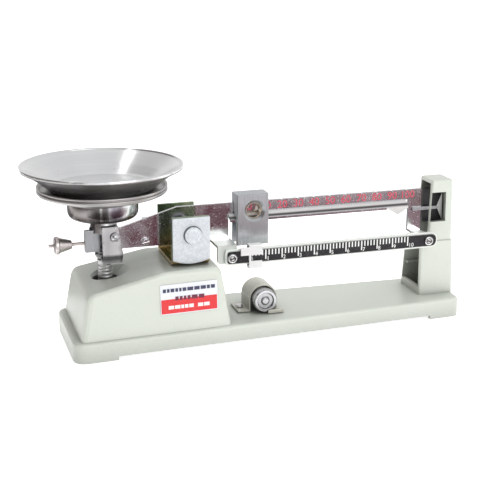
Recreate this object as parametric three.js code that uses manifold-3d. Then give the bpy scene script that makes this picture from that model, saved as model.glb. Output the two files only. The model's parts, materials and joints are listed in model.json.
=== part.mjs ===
// Double-beam laboratory balance, in millimetres, +Z up.
// +X runs along the beams from the pan to the pointer tower, -Y is the operator's side.
// The origin is the middle of the footprint of the whole balance, on the bench.
import * as THREE from 'three';
import { mergeVertices } from 'three/addons/utils/BufferGeometryUtils.js';
import Module from 'manifold-3d';

const wasm = await Module();
wasm.setup();

// ---------------------------------------------------------------- driving dimensions
const GAP = 0.3; // clearance between neighbouring solids

const BASE = {
  left: -107, right: 130.2, leftHalfWidth: 32.4, rightHalfWidth: 22.6,
  rimZ: 0.5, deckZ: 12, wall: 2.8, edgeRadius: 2, footLift: 2.7, leftFootEnd: -82.6, rightFootStart: 109.8,
};
const HOUSING = {
  leftBottom: -103.7, leftTop: -98, rightTop: -22.3, rightBottom: -16.2,
  rampLowZ: 37.9, rampEndX: -55, topZ: 46.6, setBack: 1.8, draft: 0.07,
};
// Plans are [left, right, front, rear] at the low and the high end of each stage of the tower.
const TOWER = {
  wall: 2.2, mouthZ: 17.2, stepZ: 44.8, topZ: 82,
  pedestal: { low: [107.6, 130.1, -11.2, 15.5], high: [108.8, 130.2, -8.2, 13.8] },
  shaft: { low: [114, 130, -7.5, 11.6], high: [115.9, 129.6, -5.9, 10.2] },
  window: { leftLow: 115.1, leftHigh: 115.95, right: 125.1, z: [56.6, 74.6] },
  ledge: { z: [26, 27.4], depth: 1.4 },
};
const FULCRUM = { x: -37, z: 64.6 }; // main knife-edge line, along Y
const PAN_PIVOT = { x: -79, z: 64.6 }; // pan knife-edge line, along Y
const PAN_AXIS_X = -83.2;
// The column passes through a hole at the bottom of a dished pocket in the housing's sloping top.
const POCKET = { holeRadius: 7.2, z: 38.2, topZ: 46, topRadius: 16.7, bossRadius: 12.5, bossZ: 35.6 };
const LINK = { columnPinX: PAN_AXIS_X, z: 22, pinRadius: 1.2 };
LINK.anchorX = LINK.columnPinX + FULCRUM.x - PAN_PIVOT.x; // check link is as long as the beam's short arm

const REAR = {
  zeroX: 1.8, pitch: 10, marks: 10, topZ: 76.5, bandZ: 70.4, thickness: 2,
  leftEnd: -93, stepX: -10.9, lowZ: 54.8, kinkX: -41.2, slopeStartX: -73.4, tailZ: 67.1,
  lipEnd: 100.8, lipDepth: 4.2, endLeft: 102.8, endRight: 111.2,
};
const FRONT = {
  y: -19.8, thickness: 2, left: -18.4, right: 113.5, centreZ: 49.6, halfHeight: 4.6, leftRadius: 2.2,
  screwLeft: -14.7, screwRight: 107.1, screwBore: 1.6,
};
const ARM = {
  leftX: [-22.2, -10.9], rightX: [102.8, 109.6], rightTopZ: 52.1, leftTopZ: 54.8, thickness: 1.5,
};
const BRACKET = {
  left: -48.4, right: -27, halfDepth: 17.4, topZ: 74.4, floorZ: 46.9, sheet: 2, plugRadius: 4.8,
};
const POISE = {
  width: 19, y: [-7.6, 3.2], z: [52.4, 82.3],
  slotY: [-1.5, 1.4], slotTopZ: 76.8, lipY: -5.5, lipLowZ: 67.9, lipHighZ: 71.4,
  hole: { offsetX: 1, z: 72.4, radius: 5, mouth: 6.5, flare: 1.2 },
};
const RIDER = {
  x: [-4.9, 2.9], z: [42.4, 56.6], wingX: -9.8, wingZ: [50.6, 55.4], y: [-21.7, -17.1], sheet: 0.8,
};
const PAN = { radius: 45, rimZ: 103.9, footRadius: 30, footZ: 90.9, sheet: 0.7704 };
const TRAY = {
  radius: 36, rimZ: 92.4, floorZ: 90.5, sheet: 0.8, cupRadius: 19.7, cupTopZ: 83.6, cupZ: 73.9, bend: 6.5,
};
const INDEX = { x: [113.6, 127.1], y: [1.4, 2.2], z: [55, 76.2], flange: 1, backY: 7.6 };
const POINTER = { z: 64.3, halfHeight: 1.2, neckX: 121.2, tipX: 122.6, thickness: 0.8 };
const STIRRUP = {
  cheekX: [-86, -75.2], y: [-11, 9], floorZ: 49.8, sheet: 2, roofZ: 68.6, slotY: [-5.2, 3],
};
const COLUMN = {
  radius: 4.2, bottomZ: 18, ribbedFrom: 38, ribbedTo: 48, shoulderZ: 49.5, topZ: 52.8, spigotRadius: 2,
};
const ADJUSTER = { y: -2.8, z: 60.2, rodRadius: 1, tipX: -114.4, nutX: [-111.2, -101.8], nutRadius: 5.1 };
const END_BLOCK = { x: [-94.6, -86.2], z: [55, 67.6], frontY: -4.4, screwX: -90.6, screwZ: 64.3 };
const TRIM = { x: [-60.3, -50.3], z: [64.8, 70.4], backY: 6.3, screwX: -59.9, screwZ: 57.9 };
const HANGER = { x: [87.5, 100.6], tipX: 94, tipZ: 62.4, topZ: 67.4 };
const LABEL = { x: [-58, -24.9], z: [22.6, 39.6], thickness: 0.3 };
const CLIP = {
  x: 7.6, z: 19.7, y: [-9.5, 5.5], radius: 8.6, sheet: 1, leftFootX: -7.6, rightFootX: [11.9, 18.2],
  lip: { x: 8.8, y: [-16.1, -15.3], topZ: 14.5 }, weightRadius: 7.1, weightY: [-14.6, 8.5],
};

// ---------------------------------------------------------------- materials
function finish(color, roughness, metalness) {
  return new THREE.MeshStandardMaterial({ color, roughness, metalness });
}

const enamel = finish(0xdde2d8, 0.45, 0);
const polished = finish(0xd2d2d6, 0.12, 1);
const brushed = finish(0xb9bec4, 0.35, 1);
const yellowZinc = finish(0xa89254, 0.3, 1);
const blueZinc = finish(0xbfc6d2, 0.35, 1);
const hardSteel = finish(0x8f9296, 0.25, 1);
const rubber = finish(0x202022, 0.9, 0);
const blackPlate = finish(0x1a1a1e, 0.5, 0);
const whiteLabel = finish(0xf0f0f0, 0.5, 0);
const brass = finish(0xc9a85c, 0.3, 1);

// ---------------------------------------------------------------- solids
function toSolid(geometry) {
  const bare = geometry.clone();
  bare.deleteAttribute('normal');
  bare.deleteAttribute('uv');
  const merged = mergeVertices(bare, 1e-4);
  const faces = [];
  const index = merged.index.array;
  for (let i = 0; i < index.length; i += 3) {
    const [a, b, c] = [index[i], index[i + 1], index[i + 2]];
    if (a !== b && b !== c && c !== a) faces.push(a, b, c);
  }
  return new wasm.Manifold(new wasm.Mesh({
    numProp: 3,
    vertProperties: new Float32Array(merged.attributes.position.array),
    triVerts: new Uint32Array(faces),
  }));
}

function toGeometry(solid) {
  const mesh = solid.getMesh();
  const geometry = new THREE.BufferGeometry();
  geometry.setAttribute('position', new THREE.BufferAttribute(new Float32Array(mesh.vertProperties), 3));
  geometry.setIndex(new THREE.BufferAttribute(new Uint32Array(mesh.triVerts), 1));
  geometry.computeVertexNormals();
  return geometry;
}

const join = (...geometries) => geometries.map(toSolid).reduce((sum, next) => sum.add(next));
function cut(solid, ...geometries) {
  return geometries.map(toSolid).reduce((rest, next) => rest.subtract(next), solid);
}
const carve = (geometry, ...cutters) => toGeometry(cut(toSolid(geometry), ...cutters));
const fuse = (...geometries) => toGeometry(join(...geometries));

// An axis-aligned block between low and high values on each axis.
function block([x0, x1], [y0, y1], [z0, z1]) {
  const geometry = new THREE.BoxGeometry(x1 - x0, y1 - y0, z1 - z0);
  return geometry.translate((x0 + x1) / 2, (y0 + y1) / 2, (z0 + z1) / 2);
}

// A round bar (or cone) along an axis, from one coordinate to the other.
function round(axis, radius, [from, to], [a, b], sides = 24, endRadius = radius) {
  const geometry = new THREE.CylinderGeometry(endRadius, radius, to - from, sides);
  const middle = (from + to) / 2;
  if (axis === 'z') return geometry.rotateX(Math.PI / 2).translate(a, b, middle);
  if (axis === 'x') return geometry.rotateZ(-Math.PI / 2).translate(middle, a, b);
  return geometry.translate(a, middle, b);
}

// A turned piece about the vertical line (x, y): profile points are [radius, z].
function turned(profile, [x, y], sides = 64) {
  const points = profile.map(([r, z]) => new THREE.Vector2(r, z));
  return new THREE.LatheGeometry(points, sides).rotateX(Math.PI / 2).translate(x, y, 0);
}

// Polygon with rounded corners; a corner is [a, b] or [a, b, radius].
function rounded(corners, defaultRadius = 0) {
  const shape = new THREE.Shape();
  const count = corners.length;
  corners.forEach((corner, i) => {
    const here = new THREE.Vector2(corner[0], corner[1]);
    const before = new THREE.Vector2(...corners[(i + count - 1) % count].slice(0, 2));
    const after = new THREE.Vector2(...corners[(i + 1) % count].slice(0, 2));
    const radius = corner[2] ?? defaultRadius;
    const toBefore = before.clone().sub(here).normalize();
    const toAfter = after.clone().sub(here).normalize();
    const half = Math.acos(THREE.MathUtils.clamp(toBefore.dot(toAfter), -1, 1)) / 2;
    const setback = radius / Math.tan(half);
    const start = here.clone().addScaledVector(toBefore, setback);
    const end = here.clone().addScaledVector(toAfter, setback);
    if (i === 0) shape.moveTo(start.x, start.y);
    else shape.lineTo(start.x, start.y);
    if (radius > 0) shape.quadraticCurveTo(here.x, here.y, end.x, end.y);
  });
  shape.closePath();
  return shape;
}

const BASES = {
  xy: [[1, 0, 0], [0, 1, 0], [0, 0, 1]],
  xz: [[1, 0, 0], [0, 0, 1], [0, -1, 0]],
  yz: [[0, 1, 0], [0, 0, 1], [1, 0, 0]],
};

// A flat outline drawn in a plane and thickened between two values of the third axis.
function slab(shape, plane, [from, to], options = {}) {
  const { bevel = 0, bevelSteps = 3, curveSegments = 4 } = options;
  const geometry = new THREE.ExtrudeGeometry(shape, {
    depth: to - from - 2 * bevel,
    curveSegments,
    bevelEnabled: bevel > 0,
    bevelThickness: bevel,
    bevelSize: bevel,
    bevelOffset: -bevel,
    bevelSegments: bevelSteps,
  });
  geometry.translate(0, 0, bevel);
  const [u, v, w] = BASES[plane].map((axis) => new THREE.Vector3(...axis));
  geometry.applyMatrix4(new THREE.Matrix4().makeBasis(u, v, w));
  const start = plane === 'xz' ? [0, to, 0] : w.toArray().map((c) => c * from);
  return geometry.translate(...start);
}

const balance = new THREE.Group();
balance.name = 'balance';

function add(name, geometry, material) {
  const mesh = new THREE.Mesh(geometry, material);
  mesh.name = name;
  balance.add(mesh);
}

// ---------------------------------------------------------------- base casting
const baseSlope = (BASE.rightHalfWidth - BASE.leftHalfWidth) / (BASE.right - BASE.left);
const baseHalfWidth = (x) => BASE.leftHalfWidth + (x - BASE.left) * baseSlope;

function skirtOutline(inset, leftRadius, rightRadius) {
  const [x0, x1] = [BASE.left + inset, BASE.right - inset];
  const [w0, w1] = [baseHalfWidth(x0) - inset, baseHalfWidth(x1) - inset];
  return rounded([
    [x0, -w0, leftRadius], [x1, -w1, rightRadius], [x1, w1, rightRadius], [x0, w0, leftRadius],
  ]);
}

// The housing is a block drawn from the front, then narrowed towards the top and to follow the base's taper.
function housingBody(inset, bevel) {
  const h = HOUSING;
  const floorZ = BASE.deckZ - 5;
  const outline = rounded([
    [h.leftBottom + inset, floorZ],
    [h.rightBottom + 1 - inset, floorZ],
    [h.rightTop - inset, h.topZ - inset, Math.max(5 - inset, 0.5)],
    [h.rampEndX, h.topZ - inset, 30],
    [h.leftTop + inset, h.rampLowZ - inset, Math.max(6 - inset, 0.5)],
  ]);
  const reference = 30;
  const geometry = slab(outline, 'xz', [-reference, reference], { bevel, curveSegments: 5 });
  const position = geometry.attributes.position;
  for (let i = 0; i < position.count; i += 1) {
    const [x, y, z] = [position.getX(i), position.getY(i), position.getZ(i)];
    const width = baseHalfWidth(x) - h.setBack - inset - h.draft * Math.max(z - BASE.deckZ, 0);
    position.setY(i, y * width / reference);
  }
  return geometry;
}

// A block standing on a rectangle that changes from one plan to another as it rises.
function tapered(low, high, [z0, z1], corner, bevel, inset = 0) {
  const [width, depth] = [low[1] - low[0], low[3] - low[2]];
  const outline = rounded([[0, 0], [width, 0], [width, depth], [0, depth]], corner);
  const geometry = slab(outline, 'xy', [z0, z1], { bevel });
  const position = geometry.attributes.position;
  for (let i = 0; i < position.count; i += 1) {
    const rise = (position.getZ(i) - z0) / (z1 - z0);
    const [left, right, front, rear] = low.map((value, k) => value + (high[k] - value) * rise);
    const [across, back] = [position.getX(i) / width, position.getY(i) / depth];
    position.setX(i, left + inset + (right - left - 2 * inset) * across);
    position.setY(i, front + inset + (rear - front - 2 * inset) * back);
  }
  return geometry;
}

function tower() {
  const t = TOWER;
  const pedestal = tapered(t.pedestal.low, t.pedestal.high, [BASE.deckZ, t.stepZ], 1.6, 0.7);
  const foot = tapered(t.pedestal.low, t.pedestal.low, [BASE.deckZ - 3, BASE.deckZ + 1], 1.6, 0);
  const shaft = tapered(t.shaft.low, t.shaft.high, [t.stepZ - 2, t.topZ], 1.6, 0.9);
  return join(pedestal, foot, shaft);
}

// The tower is one hollow shell, open below into the base and open towards the beam above its sill;
// a ledge runs along the inside of its rear wall.
function towerHollow() {
  const t = TOWER;
  const open = 8;
  const widened = (plan) => [plan[0] - open, ...plan.slice(1)];
  const underDeck = BASE.deckZ - BASE.wall - 1;
  const ledgeY = t.pedestal.high[3] - t.wall - t.ledge.depth;
  const ledge = block([t.pedestal.low[0] + 2, t.pedestal.low[1]], [ledgeY, ledgeY + 6], t.ledge.z);
  const [lowPlan, stepPlan] = [t.pedestal.low, t.pedestal.high];
  const hollow = join(
    tapered(lowPlan, lowPlan, [underDeck, t.mouthZ], 0, 0, t.wall),
    tapered(widened(lowPlan), widened(stepPlan), [t.mouthZ - 0.5, t.stepZ + 0.5], 0, 0, t.wall),
    tapered(widened(t.shaft.low), widened(t.shaft.high), [t.stepZ - 0.5, t.topZ - t.wall], 0, 0, t.wall),
  );
  return hollow.subtract(toSolid(ledge));
}

function towerWindow() {
  const w = TOWER.window;
  const [low, high] = w.z;
  const outline = rounded([[w.leftLow, low], [w.right, low], [w.right, high], [w.leftHigh, high]], 0.3);
  return slab(outline, 'xz', [-12, 0]);
}

const COVER = { z: [3.2, 4.7], inset: BASE.wall + GAP };
const postPlaces = [[-89, -20], [-89, 20], [-30, -19], [-30, 19], [100, -15], [100, 15]];
const bracketScrewY = 9.5;
const bracketMidX = (BRACKET.left + BRACKET.right) / 2;
const screwHole = 1.6;
const clipEarX = CLIP.x - CLIP.radius - 3.6;
const clipMidY = (CLIP.y[0] + CLIP.y[1]) / 2;

// A post for a cover screw. Those under the housing stand on a rib that ties them to its side wall.
function coverPost(x, y) {
  const foot = COVER.z[1] + GAP;
  if (x > HOUSING.rightBottom) return toSolid(round('z', 3.2, [foot, BASE.deckZ - 1], [x, y], 16));
  const top = 30;
  const wallY = baseHalfWidth(x) - HOUSING.setBack - HOUSING.draft * (top - BASE.deckZ) - 1;
  const span = y < 0 ? [-wallY, y] : [y, wallY];
  return join(round('z', 3.2, [foot, top], [x, y], 16), block([x - 1, x + 1], span, [BASE.deckZ, top]));
}

// Thickens the roof under the pocket, then sinks the pocket and its hole.
function pocketed(body) {
  const p = POCKET;
  const place = [PAN_AXIS_X, 0];
  const boss = toSolid(round('z', p.bossRadius, [p.bossZ, 41], place, 48)).intersect(toSolid(housingBody(0.4, 0)));
  const cone = round('z', p.holeRadius, [p.z, p.topZ], place, 64, p.topRadius);
  return cut(body.add(boss), cone, round('z', p.holeRadius, [20, 60], place, 64));
}

function baseCasting() {
  const b = BASE;
  const belowRim = b.rimZ - 6;
  const skirt = slab(skirtOutline(0, 8, 6), 'xy', [belowRim, b.deckZ], { bevel: b.edgeRadius, bevelSteps: 5 });
  const rim = block([b.left - 5, b.right + 5], [-60, 60], [b.rimZ, 120]);
  let body = toSolid(skirt).add(toSolid(housingBody(0, 3.4))).add(tower()).intersect(toSolid(rim));
  body = cut(
    body,
    slab(skirtOutline(b.wall, 5, 4), 'xy', [b.rimZ - 3, b.deckZ - b.wall]),
    housingBody(b.wall, 0),
    block([b.leftFootEnd, b.rightFootStart], [-60, 60], [b.rimZ - 3, b.footLift]),
    towerWindow(),
    ...[-1, 1].map((side) => round('z', screwHole, [30, 60], [bracketMidX, side * bracketScrewY], 16)),
    round('z', screwHole, [5, 20], [clipEarX, clipMidY], 16),
  );
  body = pocketed(body.subtract(towerHollow()));
  for (const [x, y] of postPlaces) {
    const tapped = round('z', 1.3, [COVER.z[0], b.deckZ - 4], [x, y], 12);
    body = body.add(coverPost(x, y)).subtract(toSolid(tapped));
  }
  return toGeometry(body);
}

add('base_casting', baseCasting(), enamel);

function bottomCover() {
  const outline = skirtOutline(COVER.inset, 4.7, 3.7);
  const holes = postPlaces.map(([x, y]) => round('z', screwHole, [0, 8], [x, y], 12));
  return carve(slab(outline, 'xy', COVER.z), ...holes);
}

add('bottom_cover', bottomCover(), brushed);

// Small pan-head screw standing along an axis, head towards the low end.
function screw(axis, headRadius, shankRadius, [headLow, headHigh], tip, place, sides = 14) {
  const head = round(axis, headRadius, [headLow, headHigh], place, sides);
  const reach = tip > headHigh ? [headHigh - 0.2, tip] : [tip, headLow + 0.2];
  const shank = round(axis, shankRadius, reach, place, 10);
  return fuse(head, shank);
}

postPlaces.forEach((place, i) => {
  const geometry = screw('z', 2.4, 1, [COVER.z[0] - GAP - 1.2, COVER.z[0] - GAP], 7.4, place);
  add(`cover_screw_${i + 1}`, geometry, hardSteel);
});

const footPlaces = [[-96.5, -24.5], [-96.5, 24.5], [118, -15], [118, 15]];
footPlaces.forEach((place, i) => {
  add(`rubber_foot_${i + 1}`, turned([[0, 0], [4, 0], [4.6, 0.6], [4.6, 2.9], [0, 2.9]], place, 24), rubber);
});

// ---------------------------------------------------------------- fulcrum bracket and bearings
const plugSeat = BRACKET.plugRadius + GAP;

function fulcrumBracket() {
  const b = BRACKET;
  const outer = rounded([
    [-b.halfDepth, b.topZ], [-b.halfDepth, b.floorZ, 3], [b.halfDepth, b.floorZ, 3], [b.halfDepth, b.topZ],
    [b.halfDepth - b.sheet, b.topZ], [b.halfDepth - b.sheet, b.floorZ + b.sheet, 1],
    [-b.halfDepth + b.sheet, b.floorZ + b.sheet, 1], [-b.halfDepth + b.sheet, b.topZ],
  ]);
  return carve(
    slab(outer, 'yz', [b.left, b.right]),
    round('y', plugSeat, [-30, 30], [FULCRUM.x, FULCRUM.z], 28),
    ...[-1, 1].map((side) => round('z', screwHole, [40, 52], [bracketMidX, side * bracketScrewY], 16)),
  );
}

add('fulcrum_bracket', fulcrumBracket(), yellowZinc);

function bearingCoverPlate() {
  const b = BRACKET;
  const shape = new THREE.Shape();
  const cornerZ = b.floorZ + 3.4;
  shape.moveTo(b.left, b.topZ);
  shape.lineTo(b.left, cornerZ);
  shape.quadraticCurveTo(bracketMidX, b.floorZ - 1.2, b.right, cornerZ);
  shape.lineTo(b.right, b.topZ);
  shape.closePath();
  const front = -b.halfDepth - GAP;
  return carve(slab(shape, 'xz', [front - 1.5, front], { curveSegments: 10 }),
    round('y', plugSeat, [-30, 0], [FULCRUM.x, FULCRUM.z], 28));
}

add('bearing_cover_plate', bearingCoverPlate(), blueZinc);

const V_GROOVE = [[0, -0.5], [2.7, 3.3], [-2.7, 3.3]];
const KNIFE = [[0, 0], [1.7, 2.7], [-1.7, 2.7]];
const aroundPoint = (points, x, z) => rounded(points.map(([a, b]) => [x + a, z + b]));

function bearingPlug(side) {
  const inner = BRACKET.halfDepth - BRACKET.sheet - 1.2;
  const outer = side < 0 ? BRACKET.halfDepth + 3.8 : BRACKET.halfDepth + 1.6;
  const span = side < 0 ? [-outer, -inner] : [inner, outer];
  const groove = side < 0 ? [-inner - 3, -inner + 1] : [inner - 1, inner + 3];
  const slot = side < 0 ? [-outer - 1, -outer + 0.7] : [outer - 0.7, outer + 1];
  const [x, z] = [FULCRUM.x, FULCRUM.z];
  return carve(
    round('y', BRACKET.plugRadius, span, [x, z], 28),
    slab(aroundPoint(V_GROOVE, x, z), 'xz', groove),
    block([x - 3, x + 3], slot, [z - 0.5, z + 0.5]),
  );
}

add('bearing_plug_front', bearingPlug(-1), blueZinc);
add('bearing_plug_rear', bearingPlug(1), blueZinc);

[-1, 1].forEach((side, i) => {
  const headLow = BRACKET.floorZ + BRACKET.sheet + GAP;
  const geometry = screw('z', 2.6, 1.2, [headLow, headLow + 1.7], 41.5, [bracketMidX, side * bracketScrewY]);
  add(`bracket_screw_${i + 1}`, geometry, hardSteel);
});

// ---------------------------------------------------------------- moving beam
const knifeReach = BRACKET.halfDepth - BRACKET.sheet + 1.2;
const fulcrumKnife = aroundPoint(KNIFE, FULCRUM.x, FULCRUM.z);
add('fulcrum_knife', slab(fulcrumKnife, 'xz', [-knifeReach, knifeReach]), hardSteel);

const panKnifeReach = 7;
const PAN_KNIFE = [[0, 0], [-1.7, -2.7], [1.7, -2.7]];
const panKnife = aroundPoint(PAN_KNIFE, PAN_PIVOT.x, PAN_PIVOT.z);
add('pan_knife', slab(panKnife, 'xz', [-panKnifeReach, panKnifeReach]), hardSteel);

function knifeSeat(points, x, z) {
  const grow = 1.2;
  const middle = points.reduce((sum, p) => [sum[0] + p[0] / 3, sum[1] + p[1] / 3], [0, 0]);
  const grown = points.map(([a, b]) => [
    middle[0] + (a - middle[0]) * (1 + grow / 2), middle[1] + (b - middle[1]) * (1 + grow / 2),
  ]);
  return slab(aroundPoint(grown, x, z), 'xz', [-5, 5]);
}

const scaleScrewHoles = () => [FRONT.screwLeft, FRONT.screwRight]
  .map((x) => round('y', FRONT.screwBore, [-30, -10], [x, FRONT.centreZ], 14));

function beamPlate() {
  const r = REAR;
  const half = r.thickness / 2;
  const slope = (r.topZ - r.tailZ) / (r.kinkX - r.slopeStartX);
  const body = rounded([
    [r.leftEnd, 56.5, 1], [r.slopeStartX - 6, 56.5, 3], [r.slopeStartX, r.lowZ, 3], [r.stepX, r.lowZ],
    [r.stepX, r.bandZ], [r.endLeft, r.bandZ], [r.endLeft, ARM.rightTopZ - ARM.thickness],
    [r.endRight, ARM.rightTopZ - ARM.thickness, 1], [r.endRight, r.topZ, 1],
    [r.kinkX, r.topZ, 4], [r.slopeStartX, r.topZ - slope * (r.kinkX - r.slopeStartX), 4],
    [r.leftEnd, r.tailZ - 0.3, 1],
  ]);
  const lip = rounded([
    [half, r.bandZ + 0.4], [-half, r.bandZ + 0.4], [-half - r.lipDepth, r.bandZ - 3.1],
    [-half - r.lipDepth, r.bandZ - 4.3], [-half - r.lipDepth + 0.8, r.bandZ - 4.5], [half, r.bandZ - 1],
  ]);
  const h = HANGER;
  const hanger = rounded([
    [h.x[0], h.topZ - 1], [h.tipX, h.tipZ, 0.6], [h.x[1], h.topZ - 1], [h.x[1], h.topZ], [h.x[0], h.topZ],
  ]);
  const lipFront = -half - r.lipDepth;
  const leftArm = block(ARM.leftX, [-15.6, -half + 0.5], [ARM.leftTopZ, ARM.leftTopZ + ARM.thickness]);
  const rightArm = block(ARM.rightX, [-15.6, -half + 0.5], [ARM.rightTopZ - ARM.thickness, ARM.rightTopZ]);
  const tabY = [FRONT.y + FRONT.thickness + GAP, FRONT.y + FRONT.thickness + GAP + ARM.thickness];
  const tabs = [ARM.leftX, ARM.rightX].map((x, i) => {
    const top = i === 0 ? ARM.leftTopZ + ARM.thickness : ARM.rightTopZ;
    const outline = rounded([[x[0], 45.6, 2], [x[1], 45.6, 2], [x[1], top], [x[0], top]]);
    return slab(outline, 'xz', [tabY[0], tabY[1] + 0.5]);
  });
  const lipStrip = slab(lip, 'yz', [r.stepX, r.lipEnd]);
  let plate = join(slab(body, 'xz', [-half, half]), lipStrip, leftArm, rightArm, ...tabs);
  plate = plate.add(toSolid(slab(hanger, 'xz', [lipFront, lipFront + 1.2])));
  const notches = [];
  for (let i = 0; i <= r.marks; i += 1) {
    const x = r.zeroX + i * r.pitch;
    const vee = rounded([[x - 0.9, r.topZ + 0.3], [x, r.topZ - 0.9], [x + 0.9, r.topZ + 0.3]]);
    notches.push(slab(vee, 'xz', [-3, 3]));
  }
  return toGeometry(cut(
    plate,
    ...notches,
    knifeSeat(KNIFE, FULCRUM.x, FULCRUM.z),
    knifeSeat(PAN_KNIFE, PAN_PIVOT.x, PAN_PIVOT.z),
    round('y', 1.3, [-5, 5], [TRIM.screwX, TRIM.screwZ], 14),
    round('y', 1.3, [-5, 5], [END_BLOCK.screwX, END_BLOCK.screwZ], 14),
    ...scaleScrewHoles(),
  ));
}

add('beam_plate', beamPlate(), polished);

function pointer() {
  const p = POINTER;
  const [rootX, face] = [REAR.endRight - 6, -REAR.thickness / 2 - GAP];
  const outline = rounded([
    [rootX, p.z - p.halfHeight], [p.neckX, p.z - p.halfHeight + 0.3], [p.tipX, p.z],
    [p.neckX, p.z + p.halfHeight - 0.3], [rootX, p.z + p.halfHeight],
  ]);
  return slab(outline, 'xz', [face - p.thickness, face]);
}

add('pointer', pointer(), brushed);

// The block stands on the back of the beam; the screw and nut below it trim the balance in the works.
const beamBack = REAR.thickness / 2 + GAP;
const beamFace = -REAR.thickness / 2 - GAP;

function trimBlock() {
  const bore = round('y', 1.1, [3, 9], [(TRIM.x[0] + TRIM.x[1]) / 2, (TRIM.z[0] + TRIM.z[1]) / 2], 12);
  return carve(block(TRIM.x, [beamBack, TRIM.backY], TRIM.z), bore);
}

const trimScrewPlace = [TRIM.screwX, TRIM.screwZ];
const trimNut = round('y', 2.6, [beamBack, beamBack + 1.9], trimScrewPlace, 6);
add('trim_block', trimBlock(), polished);
add('trim_block_screw', screw('y', 2.3, 1, [beamFace - 1.6, beamFace], 4.2, trimScrewPlace), polished);
add('trim_block_nut', carve(trimNut, round('y', 1.3, [0, 5], trimScrewPlace, 12)), hardSteel);

function endBlock() {
  const [x, z] = [END_BLOCK.x, END_BLOCK.z];
  const outline = rounded([[x[0], z[0]], [x[1], z[0]], [x[1], z[1]], [x[0], z[1]]], 0.6);
  return carve(
    slab(outline, 'xz', [END_BLOCK.frontY, beamFace]),
    round('x', ADJUSTER.rodRadius + GAP, [x[0] - 1, -88.5], [ADJUSTER.y, ADJUSTER.z], 14),
    round('y', 1.2, [END_BLOCK.frontY + 0.6, 0], [END_BLOCK.screwX, END_BLOCK.screwZ], 12),
  );
}

const endScrewPlace = [END_BLOCK.screwX, END_BLOCK.screwZ];
add('end_block', endBlock(), brushed);
const endScrewHead = [beamBack, beamBack + 1.3];
add('end_block_screw', screw('y', 2.1, 0.9, endScrewHead, END_BLOCK.frontY + 1, endScrewPlace), hardSteel);

const rodAxis = [ADJUSTER.y, ADJUSTER.z];
add('adjusting_rod', round('x', ADJUSTER.rodRadius, [ADJUSTER.tipX, -88.9], rodAxis, 14), polished);

function adjustingNut() {
  const [x0, x1] = ADJUSTER.nutX;
  const rad = ADJUSTER.nutRadius;
  const flange = round('x', rad, [x0, x0 + 2.4], [ADJUSTER.y, ADJUSTER.z], 28);
  const cone = round('x', rad - 0.6, [x0 + 2.3, x1], [ADJUSTER.y, ADJUSTER.z], 28, 2.4);
  return carve(fuse(flange, cone), round('x', ADJUSTER.rodRadius + GAP, [x0 - 1, x1 + 1], rodAxis, 14));
}

add('adjusting_nut', adjustingNut(), polished);

// ---------------------------------------------------------------- front beam
function barOutline(inset) {
  const f = FRONT;
  const [x0, x1] = [f.left + inset, f.right - inset];
  const [z0, z1] = [f.centreZ - f.halfHeight + inset, f.centreZ + f.halfHeight - inset];
  const leftRadius = f.leftRadius - inset * 0.5;
  const endRadius = (z1 - z0) * 0.46;
  return rounded([[x0, z0, leftRadius], [x1, z0, endRadius], [x1, z1, endRadius], [x0, z1, leftRadius]]);
}

function frontBeam() {
  return carve(slab(barOutline(0), 'xz', [FRONT.y, FRONT.y + FRONT.thickness]), ...scaleScrewHoles());
}

function scalePlate() {
  return carve(slab(barOutline(1.1), 'xz', [FRONT.y - GAP - 0.4, FRONT.y - GAP]), ...scaleScrewHoles());
}

add('front_beam', frontBeam(), enamel);
add('front_scale', scalePlate(), blackPlate);

[FRONT.screwLeft, FRONT.screwRight].forEach((x, i) => {
  const face = FRONT.y - 2 * GAP - 0.4;
  add(`scale_screw_${i + 1}`, screw('y', 2.7, 1.2, [face - 1.5, face], -14.2, [x, FRONT.centreZ]), polished);
});

// ---------------------------------------------------------------- poises
const holeCentre = [REAR.zeroX + POISE.hole.offsetX, POISE.hole.z];

// The slot that straddles the beam: narrow at the number band, wider below it for the flared lip.
function poiseSlot() {
  const p = POISE;
  const below = p.z[0] - 2;
  const section = rounded([
    [p.lipY, below], [p.slotY[1], below], [p.slotY[1], p.slotTopZ], [p.slotY[0], p.slotTopZ],
    [p.slotY[0], p.lipHighZ], [p.lipY, p.lipLowZ],
  ]);
  return slab(section, 'yz', [REAR.zeroX - p.width, REAR.zeroX + p.width]);
}

function poise() {
  const p = POISE;
  const mid = REAR.zeroX;
  const [x0, x1] = [mid - p.width / 2, mid + p.width / 2];
  const outline = rounded([[x0, p.z[0]], [x1, p.z[0]], [x1, p.z[1]], [x0, p.z[1]]]);
  return carve(
    slab(outline, 'xz', p.y, { bevel: 0.5, bevelSteps: 1 }),
    poiseSlot(),
    round('y', p.hole.radius, [p.y[0] - 1, 0], holeCentre, 32),
    round('y', p.hole.mouth, [p.y[0] - 0.1, p.y[0] + p.hole.flare], holeCentre, 32, p.hole.radius),
    round('y', 1.3, [1, 6], [mid, 58], 12),
  );
}

add('rear_poise', poise(), brushed);

// The thin brass sleeve that lines the reading window.
function readingRing() {
  const [front, back] = [POISE.y[0] + POISE.hole.flare + 0.1, POISE.slotY[0] - 0.1];
  const sleeve = round('y', POISE.hole.radius - GAP, [front, back], holeCentre, 32);
  const bore = round('y', POISE.hole.radius - 2 * GAP, [front - 1, back + 1], holeCentre, 32);
  return carve(sleeve, bore, poiseSlot());
}

add('reading_window_ring', readingRing(), brass);
add('poise_spring_screw', screw('y', 2.2, 0.9, [3.2 + GAP, 4.9], 1.7, [REAR.zeroX, 58]), hardSteel);

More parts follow.
